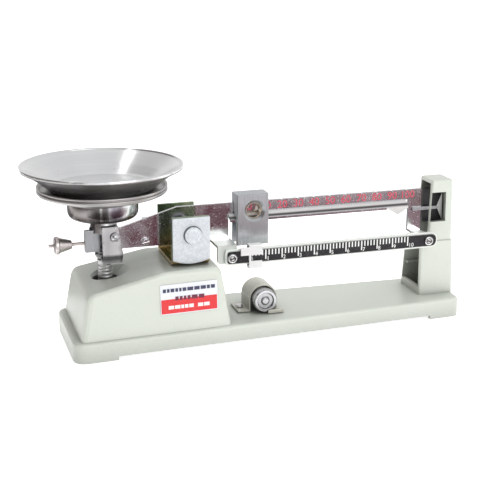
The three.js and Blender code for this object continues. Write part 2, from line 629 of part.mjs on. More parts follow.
function rider() {
  const r = RIDER;
  const section = rounded([[r.y[0], r.z[0]], [r.y[1], r.z[0]], [r.y[1], r.z[1]], [r.y[0], r.z[1]]], 0.8);
  const bore = rounded([
    [r.y[0] + r.sheet, 44.4], [r.y[1] - 0.35, 44.4], [r.y[1] - 0.35, 54.8], [r.y[0] + r.sheet, 54.8],
  ]);
  const window = block([r.x[0] + 1.3, r.x[1] + 1], [r.y[0] - 1, r.y[0] + 1], [47.2, 50.6]);
  const wing = block([r.wingX, r.x[0] + 0.5], [r.y[0], r.y[0] + 0.8], r.wingZ);
  const loop = cut(toSolid(slab(section, 'yz', r.x)), slab(bore, 'yz', [r.x[0] - 1, r.x[1] + 1]), window);
  return toGeometry(loop.add(toSolid(wing)));
}

add('front_rider', rider(), polished);

// ---------------------------------------------------------------- pan carrier
const axis = [PAN_AXIS_X, 0];

// A dish spun from one sheet: the inside follows the outside one sheet thickness away.
// A dish spun from one sheet: the inside follows the outside one sheet thickness away.
// A dish spun from one sheet: the inside follows the outside one sheet thickness away.
function pan() {
  const p = PAN;
  const wall = [
    [p.footRadius - 0.6, p.footZ], [30.4, p.footZ + 0.9], [35.3, p.footZ + 5.2], [40.7, p.footZ + 9.2],
  ];
  const rim = [[44.2, 102.6], [p.radius, 102.9], [p.radius, 103.6], [44.2, p.rimZ], [43.7, 103.4]];
  const inside = wall.slice(1).map(([r, z]) => [r - 0.68 * p.sheet, z + 0.74 * p.sheet]).reverse();
  const floor = [[p.footRadius - 1.6, p.footZ + p.sheet], [0, p.footZ + p.sheet]];
  return turned([[0, p.footZ], ...wall, ...rim, ...inside, ...floor], axis, 60);
}

add('weighing_pan', pan(), brushed);

// A flat-floored dish over a shallow cone that sits on the cup; it is open underneath into the cup.
function tray() {
  const t = TRAY;
  const [floor, foot] = [t.floorZ, t.cupTopZ + 0.4];
  return turned([
    [0, floor - t.sheet], [32, floor - t.sheet], [23.4, foot + 1.7], [17.8, foot + 1], [17.8, foot],
    [21.5, foot], [24, foot + 0.8], [34.4, t.rimZ - 4.2], [35.4, t.rimZ - 3.6], [t.radius, t.rimZ - 3],
    [t.radius, t.rimZ - 1.9], [35.2, t.rimZ - 1.6], [35.2, t.rimZ - 1.2], [t.radius, t.rimZ - 0.9],
    [t.radius, t.rimZ], [34.8, t.rimZ], [33.6, floor], [0, floor],
  ], axis, 56);
}

add('pan_tray', tray(), polished);

function tareCup() {
  const t = TRAY;
  const [r, low, top] = [t.cupRadius, t.cupZ, t.cupTopZ];
  const bend = t.bend;
  const outside = [];
  const inside = [];
  const steps = 6;
  for (let i = 0; i <= steps; i += 1) {
    const angle = (i / steps) * Math.PI / 2;
    outside.push([r - bend + bend * Math.sin(angle), low + bend - bend * Math.cos(angle)]);
    inside.push([r - bend + (bend - 1) * Math.sin(angle), low + bend - (bend - 1) * Math.cos(angle)]);
  }
  return turned([[0, low], ...outside, [r, top], [r - 1, top], ...inside.reverse(), [0, low + 1]], axis, 48);
}

add('tare_cup', tareCup(), polished);

function stirrup() {
  const s = STIRRUP;
  const [x0, x1] = s.cheekX;
  const hub = turned([
    [0, 66], [8.3, 66], [8.2, 66.8], [7, 71.5], [3.6, 71.5], [3.6, 73.6], [0, 73.6],
  ], axis, 36);
  const cheek = rounded([
    [x0 + 0.3, s.floorZ], [x1 - 0.2, s.floorZ], [x1 + 0.6, s.floorZ + 5],
    [x1 - 1.8, s.roofZ + 0.2], [x0, s.roofZ + 0.2],
  ]);
  const cheeks = [[s.y[0], s.y[0] + s.sheet], [s.y[1] - s.sheet, s.y[1]]].map((y) => slab(cheek, 'xz', y));
  const floor = block([x0, x1], s.y, [s.floorZ, s.floorZ + s.sheet]);
  const roof = block([x0, x1 - 1.8], s.y, [s.roofZ, s.roofZ + 1.8]);
  const bulge = turned([[0, 50.4], [4.4, 50.4], [5.3, 52], [5.3, 53.2], [4.4, 54.6], [0, 54.6]], axis, 32);
  const body = join(...cheeks, floor, roof, bulge, hub);
  const bearingHole = round('y', 2.9, [-20, 20], [PAN_PIVOT.x, PAN_PIVOT.z], 24);
  const columnBore = round('z', COLUMN.spigotRadius + GAP, [40, COLUMN.topZ + GAP], axis, 24);
  return toGeometry(cut(body, bearingHole, columnBore, block([-100, -60], s.slotY, [55.2, s.roofZ])));
}

add('stirrup', stirrup(), polished);

// Round bearing screwed into each stirrup cheek; its inner face has the inverted V that the pan
// knife carries.
function panBearing(side) {
  const cheekY = STIRRUP.y[side < 0 ? 0 : 1];
  const [low, high] = side < 0 ? [cheekY - 1.2, cheekY + 4.6] : [cheekY - 4.6, cheekY + 1.2];
  const groove = side < 0 ? [high - 3, high + 1] : [low - 1, low + 3];
  const [x, z] = [PAN_PIVOT.x, PAN_PIVOT.z];
  const outline = [[0, 0.5], [-2.1, -2], [-2.1, -4], [2.1, -4], [2.1, -2]];
  return carve(round('y', 2.6, [low, high], [x, z], 24), slab(aroundPoint(outline, x, z), 'xz', groove));
}

add('pan_bearing_front', panBearing(-1), polished);
add('pan_bearing_rear', panBearing(1), polished);

function column() {
  const c = COLUMN;
  const profile = [[0, c.bottomZ], [c.radius, c.bottomZ]];
  for (let z = c.ribbedFrom; z < c.ribbedTo; z += 2) {
    profile.push([c.radius, z], [c.radius - 0.3, z + 0.3], [c.radius - 0.3, z + 0.9], [c.radius, z + 1.2]);
  }
  profile.push([c.radius, c.shoulderZ], [c.spigotRadius, c.shoulderZ]);
  profile.push([c.spigotRadius, c.topZ], [0, c.topZ]);
  const fork = block([PAN_AXIS_X - 5, PAN_AXIS_X + 5], [-2.1, 2.1], [c.bottomZ - 1, LINK.z + 5]);
  const pinHole = round('y', LINK.pinRadius + GAP, [-8, 8], [LINK.columnPinX, LINK.z], 14);
  return carve(turned(profile, axis, 24), fork, pinHole);
}

add('column', column(), polished);

// ---------------------------------------------------------------- check link inside the housing
function checkLink() {
  const [a, b] = [LINK.columnPinX, LINK.anchorX];
  const [low, high] = [LINK.z - 3, LINK.z + 3];
  const bar = rounded([[a - 3, low], [b + 3, low], [b + 3, high], [a - 3, high]], 2.8);
  const pin = round('y', LINK.pinRadius, [-3.8, 3.8], [a, LINK.z], 14);
  const eye = round('y', LINK.pinRadius + GAP, [-5, 5], [b, LINK.z], 14);
  return toGeometry(cut(join(slab(bar, 'xz', [-1.5, 1.5]), pin), eye));
}

add('check_link', checkLink(), hardSteel);

function linkAnchor() {
  const x = LINK.anchorX;
  return carve(
    block([x - 4.5, x + 4.5], [-5, 5], [LINK.z - 5, HOUSING.topZ - BASE.wall - GAP]),
    block([x - 8, x + 8], [-2, 2], [LINK.z - 8, LINK.z + 5]),
    round('y', LINK.pinRadius + GAP, [-8, 8], [x, LINK.z], 14),
  );
}

add('link_anchor', linkAnchor(), hardSteel);
add('link_anchor_pin', round('y', LINK.pinRadius - 0.01, [-6, 6], [LINK.anchorX, LINK.z], 14), hardSteel);

// ---------------------------------------------------------------- index plate and label
// A bent plate behind the pointer: the marked face, and a flange that reaches back to the tower's far wall.
function indexPlate() {
  const n = INDEX;
  return fuse(block(n.x, n.y, n.z), block([n.x[1] - n.flange, n.x[1]], [n.y[0], n.backY], n.z));
}

add('index_plate', indexPlate(), blackPlate);

function ratingLabel() {
  const [[x0, x1], [z0, z1]] = [LABEL.x, LABEL.z];
  const geometry = slab(rounded([[x0, z0], [x1, z0], [x1, z1], [x0, z1]], 1), 'xz', [0, LABEL.thickness]);
  const position = geometry.attributes.position;
  for (let i = 0; i < position.count; i += 1) {
    const [x, y, z] = [position.getX(i), position.getY(i), position.getZ(i)];
    const wall = baseHalfWidth(x) - HOUSING.setBack - HOUSING.draft * (z - BASE.deckZ);
    position.setY(i, y - wall - LABEL.thickness - 0.05);
  }
  return geometry;
}

add('rating_label', ratingLabel(), whiteLabel);

// ---------------------------------------------------------------- spare weight in its clip
// A strap bent over the weight: a screwed foot on the left, a short foot with an upturned lip on the right.
function clipStrap() {
  const c = CLIP;
  const [footZ, inner] = [BASE.deckZ + GAP, c.radius - c.sheet];
  const strap = new THREE.Shape();
  strap.moveTo(c.leftFootX, footZ);
  strap.lineTo(c.x - inner, footZ);
  strap.lineTo(c.x - inner, c.z);
  strap.absarc(c.x, c.z, inner, Math.PI, 0, true);
  strap.lineTo(c.x + inner, footZ);
  strap.lineTo(c.x + c.radius, footZ);
  strap.lineTo(c.x + c.radius, c.z);
  strap.absarc(c.x, c.z, c.radius, 0, Math.PI, false);
  strap.lineTo(c.x - c.radius, footZ + c.sheet);
  strap.lineTo(c.leftFootX, footZ + c.sheet);
  strap.closePath();
  const foot = block(c.rightFootX, [c.lip.y[0], c.y[1]], [footZ, footZ + c.sheet]);
  const lip = block([c.lip.x, c.rightFootX[1]], c.lip.y, [footZ, c.lip.topZ]);
  const hole = round('z', 1.5, [5, 20], [clipEarX, clipMidY], 14);
  return toGeometry(cut(join(slab(strap, 'xz', c.y, { curveSegments: 24 }), foot, lip), hole));
}

add('weight_clip', clipStrap(), enamel);

const clipScrewZ = BASE.deckZ + CLIP.sheet + 2 * GAP;
add('clip_screw', screw('z', 2.2, 1.1, [clipScrewZ, clipScrewZ + 1.4], 8.4, [clipEarX, clipMidY]), polished);

function spareWeight() {
  const c = CLIP;
  const place = [c.x, c.z];
  const body = round('y', c.weightRadius, c.weightY, place, 40);
  const step = round('y', 5.4, [c.weightY[0] - 1, c.weightY[0] + 1.4], place, 32);
  const knob = round('y', 3.6, [c.weightY[0] - 0.4, c.weightY[0] + 2], place, 28);
  const neck = toSolid(round('y', c.weightRadius + 1, [-11.3, -10.1], place, 40))
    .subtract(toSolid(round('y', c.weightRadius - 0.9, [-12, -9], place, 40)));
  return toGeometry(toSolid(body).subtract(toSolid(step)).add(toSolid(knob)).subtract(neck));
}

add('spare_weight', spareWeight(), polished);

export default balance;
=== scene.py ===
import json
import math
import random

import bmesh
import bpy
from mathutils import Matrix, Vector


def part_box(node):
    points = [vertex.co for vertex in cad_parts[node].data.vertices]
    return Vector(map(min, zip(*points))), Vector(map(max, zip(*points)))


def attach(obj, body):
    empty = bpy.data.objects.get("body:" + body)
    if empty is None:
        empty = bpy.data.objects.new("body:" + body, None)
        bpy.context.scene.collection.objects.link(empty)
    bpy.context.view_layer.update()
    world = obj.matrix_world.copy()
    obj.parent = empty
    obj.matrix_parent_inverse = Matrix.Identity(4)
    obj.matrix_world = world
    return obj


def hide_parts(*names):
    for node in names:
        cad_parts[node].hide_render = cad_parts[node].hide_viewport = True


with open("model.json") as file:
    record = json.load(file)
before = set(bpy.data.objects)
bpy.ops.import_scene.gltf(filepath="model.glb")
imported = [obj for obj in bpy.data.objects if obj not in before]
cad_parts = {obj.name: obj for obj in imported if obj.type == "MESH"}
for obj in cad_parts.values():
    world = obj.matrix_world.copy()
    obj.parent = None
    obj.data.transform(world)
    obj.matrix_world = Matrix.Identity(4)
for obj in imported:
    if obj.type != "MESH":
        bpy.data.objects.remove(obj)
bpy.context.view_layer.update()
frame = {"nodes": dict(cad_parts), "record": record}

MM = 0.001
NODES = frame["nodes"]

# ---------------------------------------------------------------- camera
CAMERA_AT = Vector((-0.1879, -0.5860, 0.2326))
CAMERA_YAW = math.radians(17.65)
CAMERA_DOWN = math.radians(16.43)
CAMERA_ROLL = math.radians(0.17)
CAMERA_LENS = 81.4
CAMERA_SENSOR = 36


def make_camera():
    forward = Vector((
        math.sin(CAMERA_YAW) * math.cos(CAMERA_DOWN),
        math.cos(CAMERA_YAW) * math.cos(CAMERA_DOWN),
        -math.sin(CAMERA_DOWN),
    ))
    right = Vector((math.cos(CAMERA_YAW), -math.sin(CAMERA_YAW), 0))
    up = right.cross(forward)
    turn = Matrix((right, up, -forward)).transposed().to_4x4()
    data = bpy.data.cameras.new("camera")
    data.lens = CAMERA_LENS
    data.sensor_width = CAMERA_SENSOR
    data.clip_start = 0.01
    camera = bpy.data.objects.new("camera", data)
    camera.matrix_world = Matrix.Translation(CAMERA_AT) @ turn @ Matrix.Rotation(CAMERA_ROLL, 4, "Z")
    bpy.context.scene.collection.objects.link(camera)
    bpy.context.scene.camera = camera


make_camera()
bpy.context.scene.view_settings.view_transform = "Standard"


# ---------------------------------------------------------------- node-based materials
class Graph:
    """A thin wrapper that adds nodes to a material and links them."""

    def __init__(self, name):
        self.material = bpy.data.materials.new(name)
        self.material.use_nodes = True
        self.tree = self.material.node_tree
        self.tree.nodes.clear()
        self.out = self.tree.nodes.new("ShaderNodeOutputMaterial")
        self.shader = self.tree.nodes.new("ShaderNodeBsdfPrincipled")
        self.tree.links.new(self.shader.outputs[0], self.out.inputs[0])

    def node(self, kind, inputs=None, **settings):
        made = self.tree.nodes.new("ShaderNode" + kind)
        for key, value in settings.items():
            setattr(made, key, value)
        for key, value in (inputs or {}).items():
            self.set(made.inputs[key], value)
        return made

    def set(self, socket, value):
        if isinstance(value, bpy.types.NodeSocket):
            self.tree.links.new(value, socket)
        elif isinstance(value, bpy.types.Node):
            self.tree.links.new(value.outputs[0], socket)
        elif socket.type == "RGBA" and len(value) == 3:
            socket.default_value = (*value, 1)
        else:
            socket.default_value = value

    def place(self):
        """The X, Y and Z of the shaded point, in metres."""
        return self.node("SeparateXYZ", {0: self.node("TexCoord").outputs["Object"]}).outputs

    def coords(self, scale=(1, 1, 1)):
        return self.node("Mapping", {"Vector": self.node("TexCoord").outputs["Object"], "Scale": scale})

    def noise(self, scale, detail, stretch=(1, 1, 1), roughness=0.55):
        inputs = {"Vector": self.coords(stretch), "Scale": scale, "Detail": detail, "Roughness": roughness}
        return self.node("TexNoise", inputs).outputs["Fac"]

    def ramp(self, value, stops):
        ramp = self.node("ValToRGB", {"Fac": value})
        elements = ramp.color_ramp.elements
        while len(elements) < len(stops):
            elements.new(0.5)
        for element, (at, colour) in zip(elements, stops):
            element.position = at
            element.color = (*colour, 1)
        return ramp.outputs[0]

    def grey(self, value, low, high, start=0.3, end=0.7):
        """A number that goes from low to high while value goes from start to end."""
        return self.node("MapRange", {0: value, 1: start, 2: end, 3: low, 4: high}).outputs[0]

    def mix(self, factor, a, b, blend="MIX"):
        made = self.node("Mix", data_type="RGBA", blend_type=blend)
        self.set(made.inputs[0], factor)
        self.set(made.inputs[6], a)
        self.set(made.inputs[7], b)
        return made.outputs[2]

    def math(self, operation, a, b=0.0):
        made = self.node("Math", operation=operation)
        self.set(made.inputs[0], a)
        self.set(made.inputs[1], b)
        return made.outputs[0]

    def wobble(self, noise, reach):
        """A 0 to 1 noise as a shift to either side of zero."""
        return self.math("MULTIPLY", self.math("SUBTRACT", noise, 0.5), reach)

    def bump(self, height, strength, distance, under=None):
        inputs = {"Height": height, "Strength": strength, "Distance": distance}
        if under is not None:
            inputs["Normal"] = under
        return self.node("Bump", inputs).outputs[0]

    def finish(self, colour, roughness, metallic=0.0, normal=None, **more):
        values = {"Base Color": colour, "Roughness": roughness, "Metallic": metallic, **more}
        if normal is not None:
            values["Normal"] = normal
        for key, value in values.items():
            self.set(self.shader.inputs[key], value)
        return self.material


def darkened(g, colour, reach, depth):
    """Paints shade into a colour in corners and hollows, where light does not reach."""
    shade = g.node("AmbientOcclusion", {"Distance": reach}, samples=6)
    return g.mix(g.grey(shade.outputs["AO"], depth, 0.0, 0.25, 0.85), colour, (0.02, 0.02, 0.018))


def tinted(colour, factor):
    return tuple(c * factor for c in colour)


def around(g, centre):
    """Distance from an upright axis, angle round it (0 at -X, rising towards -Y) and height."""
    x, y, height = g.place()
    dx = g.math("SUBTRACT", x, centre[0])
    dy = g.math("SUBTRACT", y, centre[1])
    radius = g.math("SQRT", g.math("ADD", g.math("MULTIPLY", dx, dx), g.math("MULTIPLY", dy, dy)))
    angle = g.math("ARCTAN2", g.math("MULTIPLY", dy, -1), g.math("MULTIPLY", dx, -1))
    return radius, angle, height


def round_mask(g, centre, radius):
    """One inside an upright cylinder and zero outside it."""
    return g.grey(around(g, centre)[0], 1, 0, radius, radius + MASK_SOFT)


def between(g, value, start, end, soft):
    """One from start to end, easing to zero over soft on both sides."""
    return g.math("MULTIPLY", g.grey(value, 0, 1, start - soft, start), g.grey(value, 1, 0, end, end + soft))


def enamel(name, light, dark, hollow_shade=0.6, hole=None):
    """Sprayed paint: cloudy tone, fine specks and orange peel, with painted shade in its hollows; hole is a
    round place painted black as the shade down the bore round the column.
    """
    g = Graph(name)
    colour = g.mix(g.grey(g.noise(14, 4), 0, 1), dark, light)
    colour = g.mix(g.grey(g.noise(900, 2), 0.10, 0, 0.30, 0.42), colour, (0.35, 0.36, 0.33))
    # painted shade in corners and hollows
    colour = darkened(g, colour, 0.03, hollow_shade)
    if hole:
        # painted shade: the hole round the column painted black
        colour = g.mix(round_mask(g, *hole), colour, (0.006, 0.006, 0.005))
    peel = g.noise(520, 2)
    fine = g.noise(2600, 1)
    normal = g.bump(fine, 0.05, 0.00004, g.bump(peel, 0.10, 0.00012))
    rough = g.grey(g.noise(60, 3), 0.30, 0.42)
    return g.finish(colour, rough, 0.0, normal, **{"Coat Weight": 0.25, "Coat Roughness": 0.18})


def polished(name, colour, low, high, hollow_shade=0.0, metallic=1.0):
    """Bright plating of roughness low to high: smudges, pits that catch the light and a faint grain."""
    g = Graph(name)
    smudge = g.noise(70, 4)
    hair = g.noise(700, 3)
    tint = g.mix(g.grey(smudge, 0, 0.5), colour, tinted(colour, 0.82))
    pits = g.noise(1100, 2, roughness=0.8)
    tint = g.mix(g.grey(pits, 0, 0.8, 0.66, 0.74), tint, (0.9, 0.9, 0.9))
    if hollow_shade:
        # painted shade in hollows
        tint = darkened(g, tint, 0.012, hollow_shade)
    rough = g.math("ADD", g.grey(smudge, low, high), g.grey(pits, 0, 0.35, 0.64, 0.74))
    return g.finish(tint, rough, metallic, g.bump(hair, 0.03, 0.00003, g.bump(pits, 0.12, 0.00005)))


def brushed(name, colour, stretch, rough=0.32, depth=0.25, contrast=0.25, scale=1500, hollow_shade=0.4):
    """Metal with a directional grain and cloudy patches."""
    g = Graph(name)
    grain = g.noise(scale, 4, stretch, 0.7)
    cloud = g.noise(55, 4)
    dark = tinted(colour, 1 - contrast)
    tint = g.mix(g.grey(grain, 0, 1, 0.25, 0.75), dark, colour)
    tint = g.mix(g.grey(cloud, 0, 0.6, 0.35, 0.65), tint, dark)
    # painted shade in hollows
    tint = darkened(g, tint, 0.006, hollow_shade)
    return g.finish(tint, g.grey(grain, rough + 0.08, rough - 0.06), 1, g.bump(grain, depth, 0.00004))


def underside(g, x_range, left, right):
    """Faces that look down: 1 there, and a factor of painted shade that eases from the left to the right."""
    facing = g.node("SeparateXYZ", {0: g.node("TexCoord").outputs["Normal"]}).outputs["Z"]
    across = g.place()["X"]
    return g.grey(facing, 1, 0, -0.30, -0.05), g.mix(g.grey(across, 0, 1, *x_range), left, right)


def spun(name, colour, centre, rough, aniso, below, hollow_shade=0.3, contrast=0.1):
    """Sheet spun on a lathe: rings round a vertical axis, with the long highlights that rings make.

    below is painted shade on the underside: what its colour is multiplied by at its left and at its right; a
    factor over one paints light there instead.
    """
    g = Graph(name)
    radius, _, height = around(g, centre)
    along = g.node("CombineXYZ", {0: radius, 1: height})
    rings = g.node("TexNoise", {"Vector": along, "Scale": 1800, "Detail": 3, "Roughness": 0.7}).outputs["Fac"]
    bands = g.node("TexNoise", {"Vector": along, "Scale": 260, "Detail": 2}).outputs["Fac"]
    wear = g.noise(60, 3)
    tint = g.mix(g.grey(rings, 0, 1), tinted(colour, 1 - contrast), colour)
    tint = g.mix(g.grey(bands, 0, 0.5), tint, tinted(colour, 1 - contrast * 1.4))
    tint = g.mix(g.grey(wear, 0, 0.2, 0.4, 0.8), tint, tinted(colour, 0.85))
    # painted shade in hollows
    tint = darkened(g, tint, 0.015, hollow_shade)
    # painted shade on the faces that look down, eased from the left to the right, and only above a set height
    down, dull_and_shade = underside(g, (centre[0] - SHADE_BELOW_REACH, centre[0] + SHADE_BELOW_REACH), *below)
    dull_and_shade = g.mix(g.grey(height, 1, 0, *SHADE_BELOW_HEIGHT), dull_and_shade, (1, 1, 1))
    tint = g.mix(down, tint, g.mix(1.0, tint, dull_and_shade, "MULTIPLY"))
    scratch = g.noise(1200, 2, (1, 0.08, 1))
    normal = g.bump(scratch, 0.02, 0.00002, g.bump(rings, 0.05, 0.00002))
    tangent = g.node("Tangent", direction_type="RADIAL", axis="Z")
    return g.finish(tint, g.grey(wear, rough, rough + 0.04), 1, normal, **{
        "Anisotropic": aniso, "Anisotropic Rotation": QUARTER_TURN, "Tangent": tangent,
    })


def cup_plating(name, centre, low, high):
    """Polished cup whose colour is painted reflection: light and dark upright streaks round it, and painted
    shade towards the foot.
    """
    g = Graph(name)
    angle, height = around(g, centre)[1:]
    turn = g.math("MULTIPLY", angle, 1 / math.pi)
    round_it = g.node("CombineXYZ", {0: turn})
    hair = g.node("TexNoise", {"Vector": round_it, "Scale": 60, "Detail": 3}).outputs["Fac"]
    # painted reflection: light and dark bands round the axis
    bands = g.ramp(g.math("ADD", turn, g.wobble(hair, 0.02)), CUP_REFLECTION_BANDS)
    # painted shade, darker towards the foot
    dull_and_shade = g.ramp(g.grey(height, 0, 1, low, high), [
        (0.0, (0.10, 0.09, 0.09)), (0.3, (0.22, 0.20, 0.20)), (0.5, (0.8, 0.78, 0.78)), (1.0, (1, 1, 1)),
    ])
    tint = g.mix(1.0, bands, dull_and_shade, "MULTIPLY")
    # darker streaks of painted reflection
    tint = g.mix(g.grey(hair, 0, 0.4, 0.4, 0.7), tint, (0.2, 0.19, 0.18))
    fine = g.noise(1500, 3)
    return g.finish(tint, g.grey(fine, 0.16, 0.24), 1, g.bump(fine, 0.03, 0.00002))


def zinc_yellow(name):
    """Yellow passivate over zinc: olive and green on the faces, gold towards the bottom edges."""
    g = Graph(name)
    cloud = g.noise(75, 4)
    golden = g.math("ADD", g.grey(g.place()["Z"], 1, 0, *GOLD_HEIGHT), g.wobble(cloud, 0.9))
    olive = g.ramp(cloud, [(0.3, (0.16, 0.23, 0.12)), (0.55, (0.28, 0.38, 0.23)), (0.75, (0.44, 0.50, 0.34))])
    gold = g.ramp(cloud, [(0.3, (0.50, 0.33, 0.14)), (0.6, (0.74, 0.58, 0.30)), (0.8, (0.82, 0.72, 0.46))])
    # painted shade in hollows
    tint = darkened(g, g.mix(golden, olive, gold), 0.01, 0.3)
    fine = g.noise(1500, 3)
    return g.finish(tint, g.grey(cloud, 0.2, 0.34), 1, g.bump(fine, 0.15, 0.00004))


def zinc_blue(name):
    """Blue-white zinc with a crystal pattern, satin."""
    g = Graph(name)
    cells = g.node("TexVoronoi", {"Vector": g.coords(), "Scale": 1300}).outputs["Color"]
    value = g.node("SeparateColor", {0: cells}).outputs[0]
    cloud = g.noise(60, 4)
    tint = g.mix(value, (0.74, 0.79, 0.83), (0.88, 0.92, 0.95))
    tint = g.mix(g.grey(cloud, 0, 0.4, 0.4, 0.7), tint, (0.84, 0.88, 0.91))
    # painted shade in hollows
    tint = darkened(g, tint, 0.004, 0.5)
    normal = g.bump(value, 0.12, 0.00005, g.bump(g.noise(2200, 2), 0.1, 0.00003))
    return g.finish(tint, g.grey(value, 0.42, 0.55), 0.75, normal)


def beam_plating(name):
    """Bright pitted plate; the front arms, the lip and the hanging tab are duller, each in its own tone, and
    the lip's foot is a dark band of painted shadow.
    """
    g = Graph(name)
    smudge, pits = g.noise(70, 4), g.noise(1250, 2, roughness=0.8)
    tint = g.mix(g.grey(smudge, 0, 0.5), (0.80, 0.78, 0.80), (0.66, 0.64, 0.66))
    speck = g.grey(pits, 0, 1, 0.63, 0.70)
    tint = g.mix(speck, tint, (0.95, 0.93, 0.94))

    x, depth, height = g.place()
    arm = g.grey(depth, 1, 0, *ARM_FRONT)
    lip = g.math("MULTIPLY", g.grey(depth, 1, 0, *LIP_FRONT), between(g, height, *LIP_HEIGHT, MASK_SOFT))
    tab = g.math("MULTIPLY", between(g, x, *TAB_SPAN, 2 * MASK_SOFT), g.grey(height, 1, 0, *TAB_TOP))
    tint = g.mix(arm, tint, (0.80, 0.84, 0.80))
    tint = g.mix(tab, tint, (0.92, 0.92, 0.90))
    # the lip's foot painted dark as a shadow band, pale above it
    lip_tone_and_shadow = g.mix(g.grey(height, 0, 1, *LIP_SHADE), (0.16, 0.15, 0.15), (0.95, 0.95, 0.94))
    tint = g.mix(lip, tint, lip_tone_and_shadow)

    rough = g.math("ADD", g.grey(smudge, 0.08, 0.2), g.math("MULTIPLY", speck, 0.3))
    dull_and_shade = g.math("ADD", tab, g.math("ADD", arm, lip))
    rough = g.math("ADD", rough, g.math("MULTIPLY", dull_and_shade, 0.35))
    return g.finish(tint, rough, 1, g.bump(pits, 0.2, 0.00006, g.bump(g.noise(700, 3), 0.03, 0.00003)))


def stirrup_plating(name, low, high):
    """Bright strip with painted light and shade: pale front cheek, painted shade where it turns at the left
    and at its right edge, a painted highlight beside the left turn, and painted shadow just above the fold at
    its foot.
    """
    g = Graph(name)
    cloud = g.noise(160, 4)
    shift = g.wobble(cloud, 0.0012)
    across = g.math("ADD", g.place()["X"], shift)
    up = g.math("ADD", g.place()["Z"], shift)
    # painted shade at the left turn and the right edge, with a painted highlight beside the left turn
    side = g.ramp(g.grey(across, 0, 1, low[0], high[0]), [
        (0.0, (0.30, 0.30, 0.31)), (0.10, (0.20, 0.20, 0.21)), (0.15, (0.95, 0.95, 0.95)),
        (0.5, (0.72, 0.72, 0.73)), (0.85, (0.9, 0.9, 0.9)), (1.0, (0.4, 0.4, 0.4)),
    ])
    # painted shadow just above the fold at the foot, painted highlights above it, painted shade along the top
    rise = g.ramp(g.grey(up, 0, 1, low[2], high[2]), [
        (0.0, (0.55, 0.55, 0.55)), (0.10, (0.16, 0.16, 0.16)), (0.16, (0.18, 0.18, 0.18)), (0.22, (1, 1, 1)),
        (0.62, (0.92, 0.92, 0.92)), (0.9, (1, 1, 1)), (1.0, (0.45, 0.45, 0.45)),
    ])
    # painted shade in hollows
    tint = darkened(g, g.mix(1.0, side, rise, "MULTIPLY"), 0.004, 0.4)
    fine = g.noise(1300, 3)
    return g.finish(tint, g.grey(cloud, 0.22, 0.38), 1, g.bump(fine, 0.04, 0.00003))


# ---------------------------------------------------------------- what the materials are placed by
def centre_of(node):
    """The middle of a CAD node's box, in metres."""
    low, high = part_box(node)
    return tuple((a + b) / 2 for a, b in zip(low, high))


AXIS = (centre_of("weighing_pan")[0], 0.0)
QUARTER_TURN = 0.25  # turns the rings' highlight from round the axis to out from it
SHADE_BELOW_REACH = 0.03  # the underside's two painted shades are this far to the left and right of the axis
SHADE_BELOW_HEIGHT = (0.0915, 0.0975)  # the underside keeps its own colour under this height and is painted with shade above it
GOLD_HEIGHT = (0.048, 0.058)  # the bracket is gold below this and olive above it

MASK_SOFT = 0.0004

# where the beam plate's duller places are, in metres: each pair is where a mask starts and ends
ARM_FRONT = (-0.0066, -0.0058)
LIP_FRONT = (-0.0020, -0.0014)
LIP_HEIGHT = (0.0680, 0.0720)
# LIP_SHADE is where the lip's painted shadow band gives way to its pale tone
LIP_SHADE = (0.0686, 0.0692)
TAB_SPAN = (0.0870, 0.1012)
TAB_TOP = (0.0672, 0.0676)

# tones of the cup's painted reflection, as bands round its axis
REFLECTED_LIGHT, REFLECTED_MID, REFLECTED_DARK = (0.95, 0.95, 0.96), (0.42, 0.40, 0.40), (0.13, 0.12, 0.12)
CUP_REFLECTION_BANDS = [
    (0.0, REFLECTED_MID), (0.12, (0.30, 0.27, 0.26)), (0.30, REFLECTED_MID), (0.375, REFLECTED_DARK), (0.41, REFLECTED_DARK),
    (0.425, (0.6, 0.6, 0.6)), (0.445, REFLECTED_DARK), (0.48, REFLECTED_DARK), (0.50, (0.55, 0.53, 0.57)),
    (0.54, (0.30, 0.28, 0.33)), (0.60, (0.38, 0.36, 0.40)), (0.64, REFLECTED_LIGHT), (0.74, (0.86, 0.95, 0.92)),
    (0.85, REFLECTED_MID), (1.0, REFLECTED_DARK),
]
# where the enamel is painted black as the shade in the hole round the column
COLUMN_HOLE = (centre_of("column")[:2], 0.00705)
# painted shade on the faces that look down, at their left and right; a factor over one on the tray's right is
# painted light
PAN_SHADE_BELOW = ((0.12, 0.11, 0.11), (0.36, 0.35, 0.34))
TRAY_SHADE_AND_LIGHT_BELOW = ((0.22, 0.20, 0.20), (1.3, 1.3, 1.3))

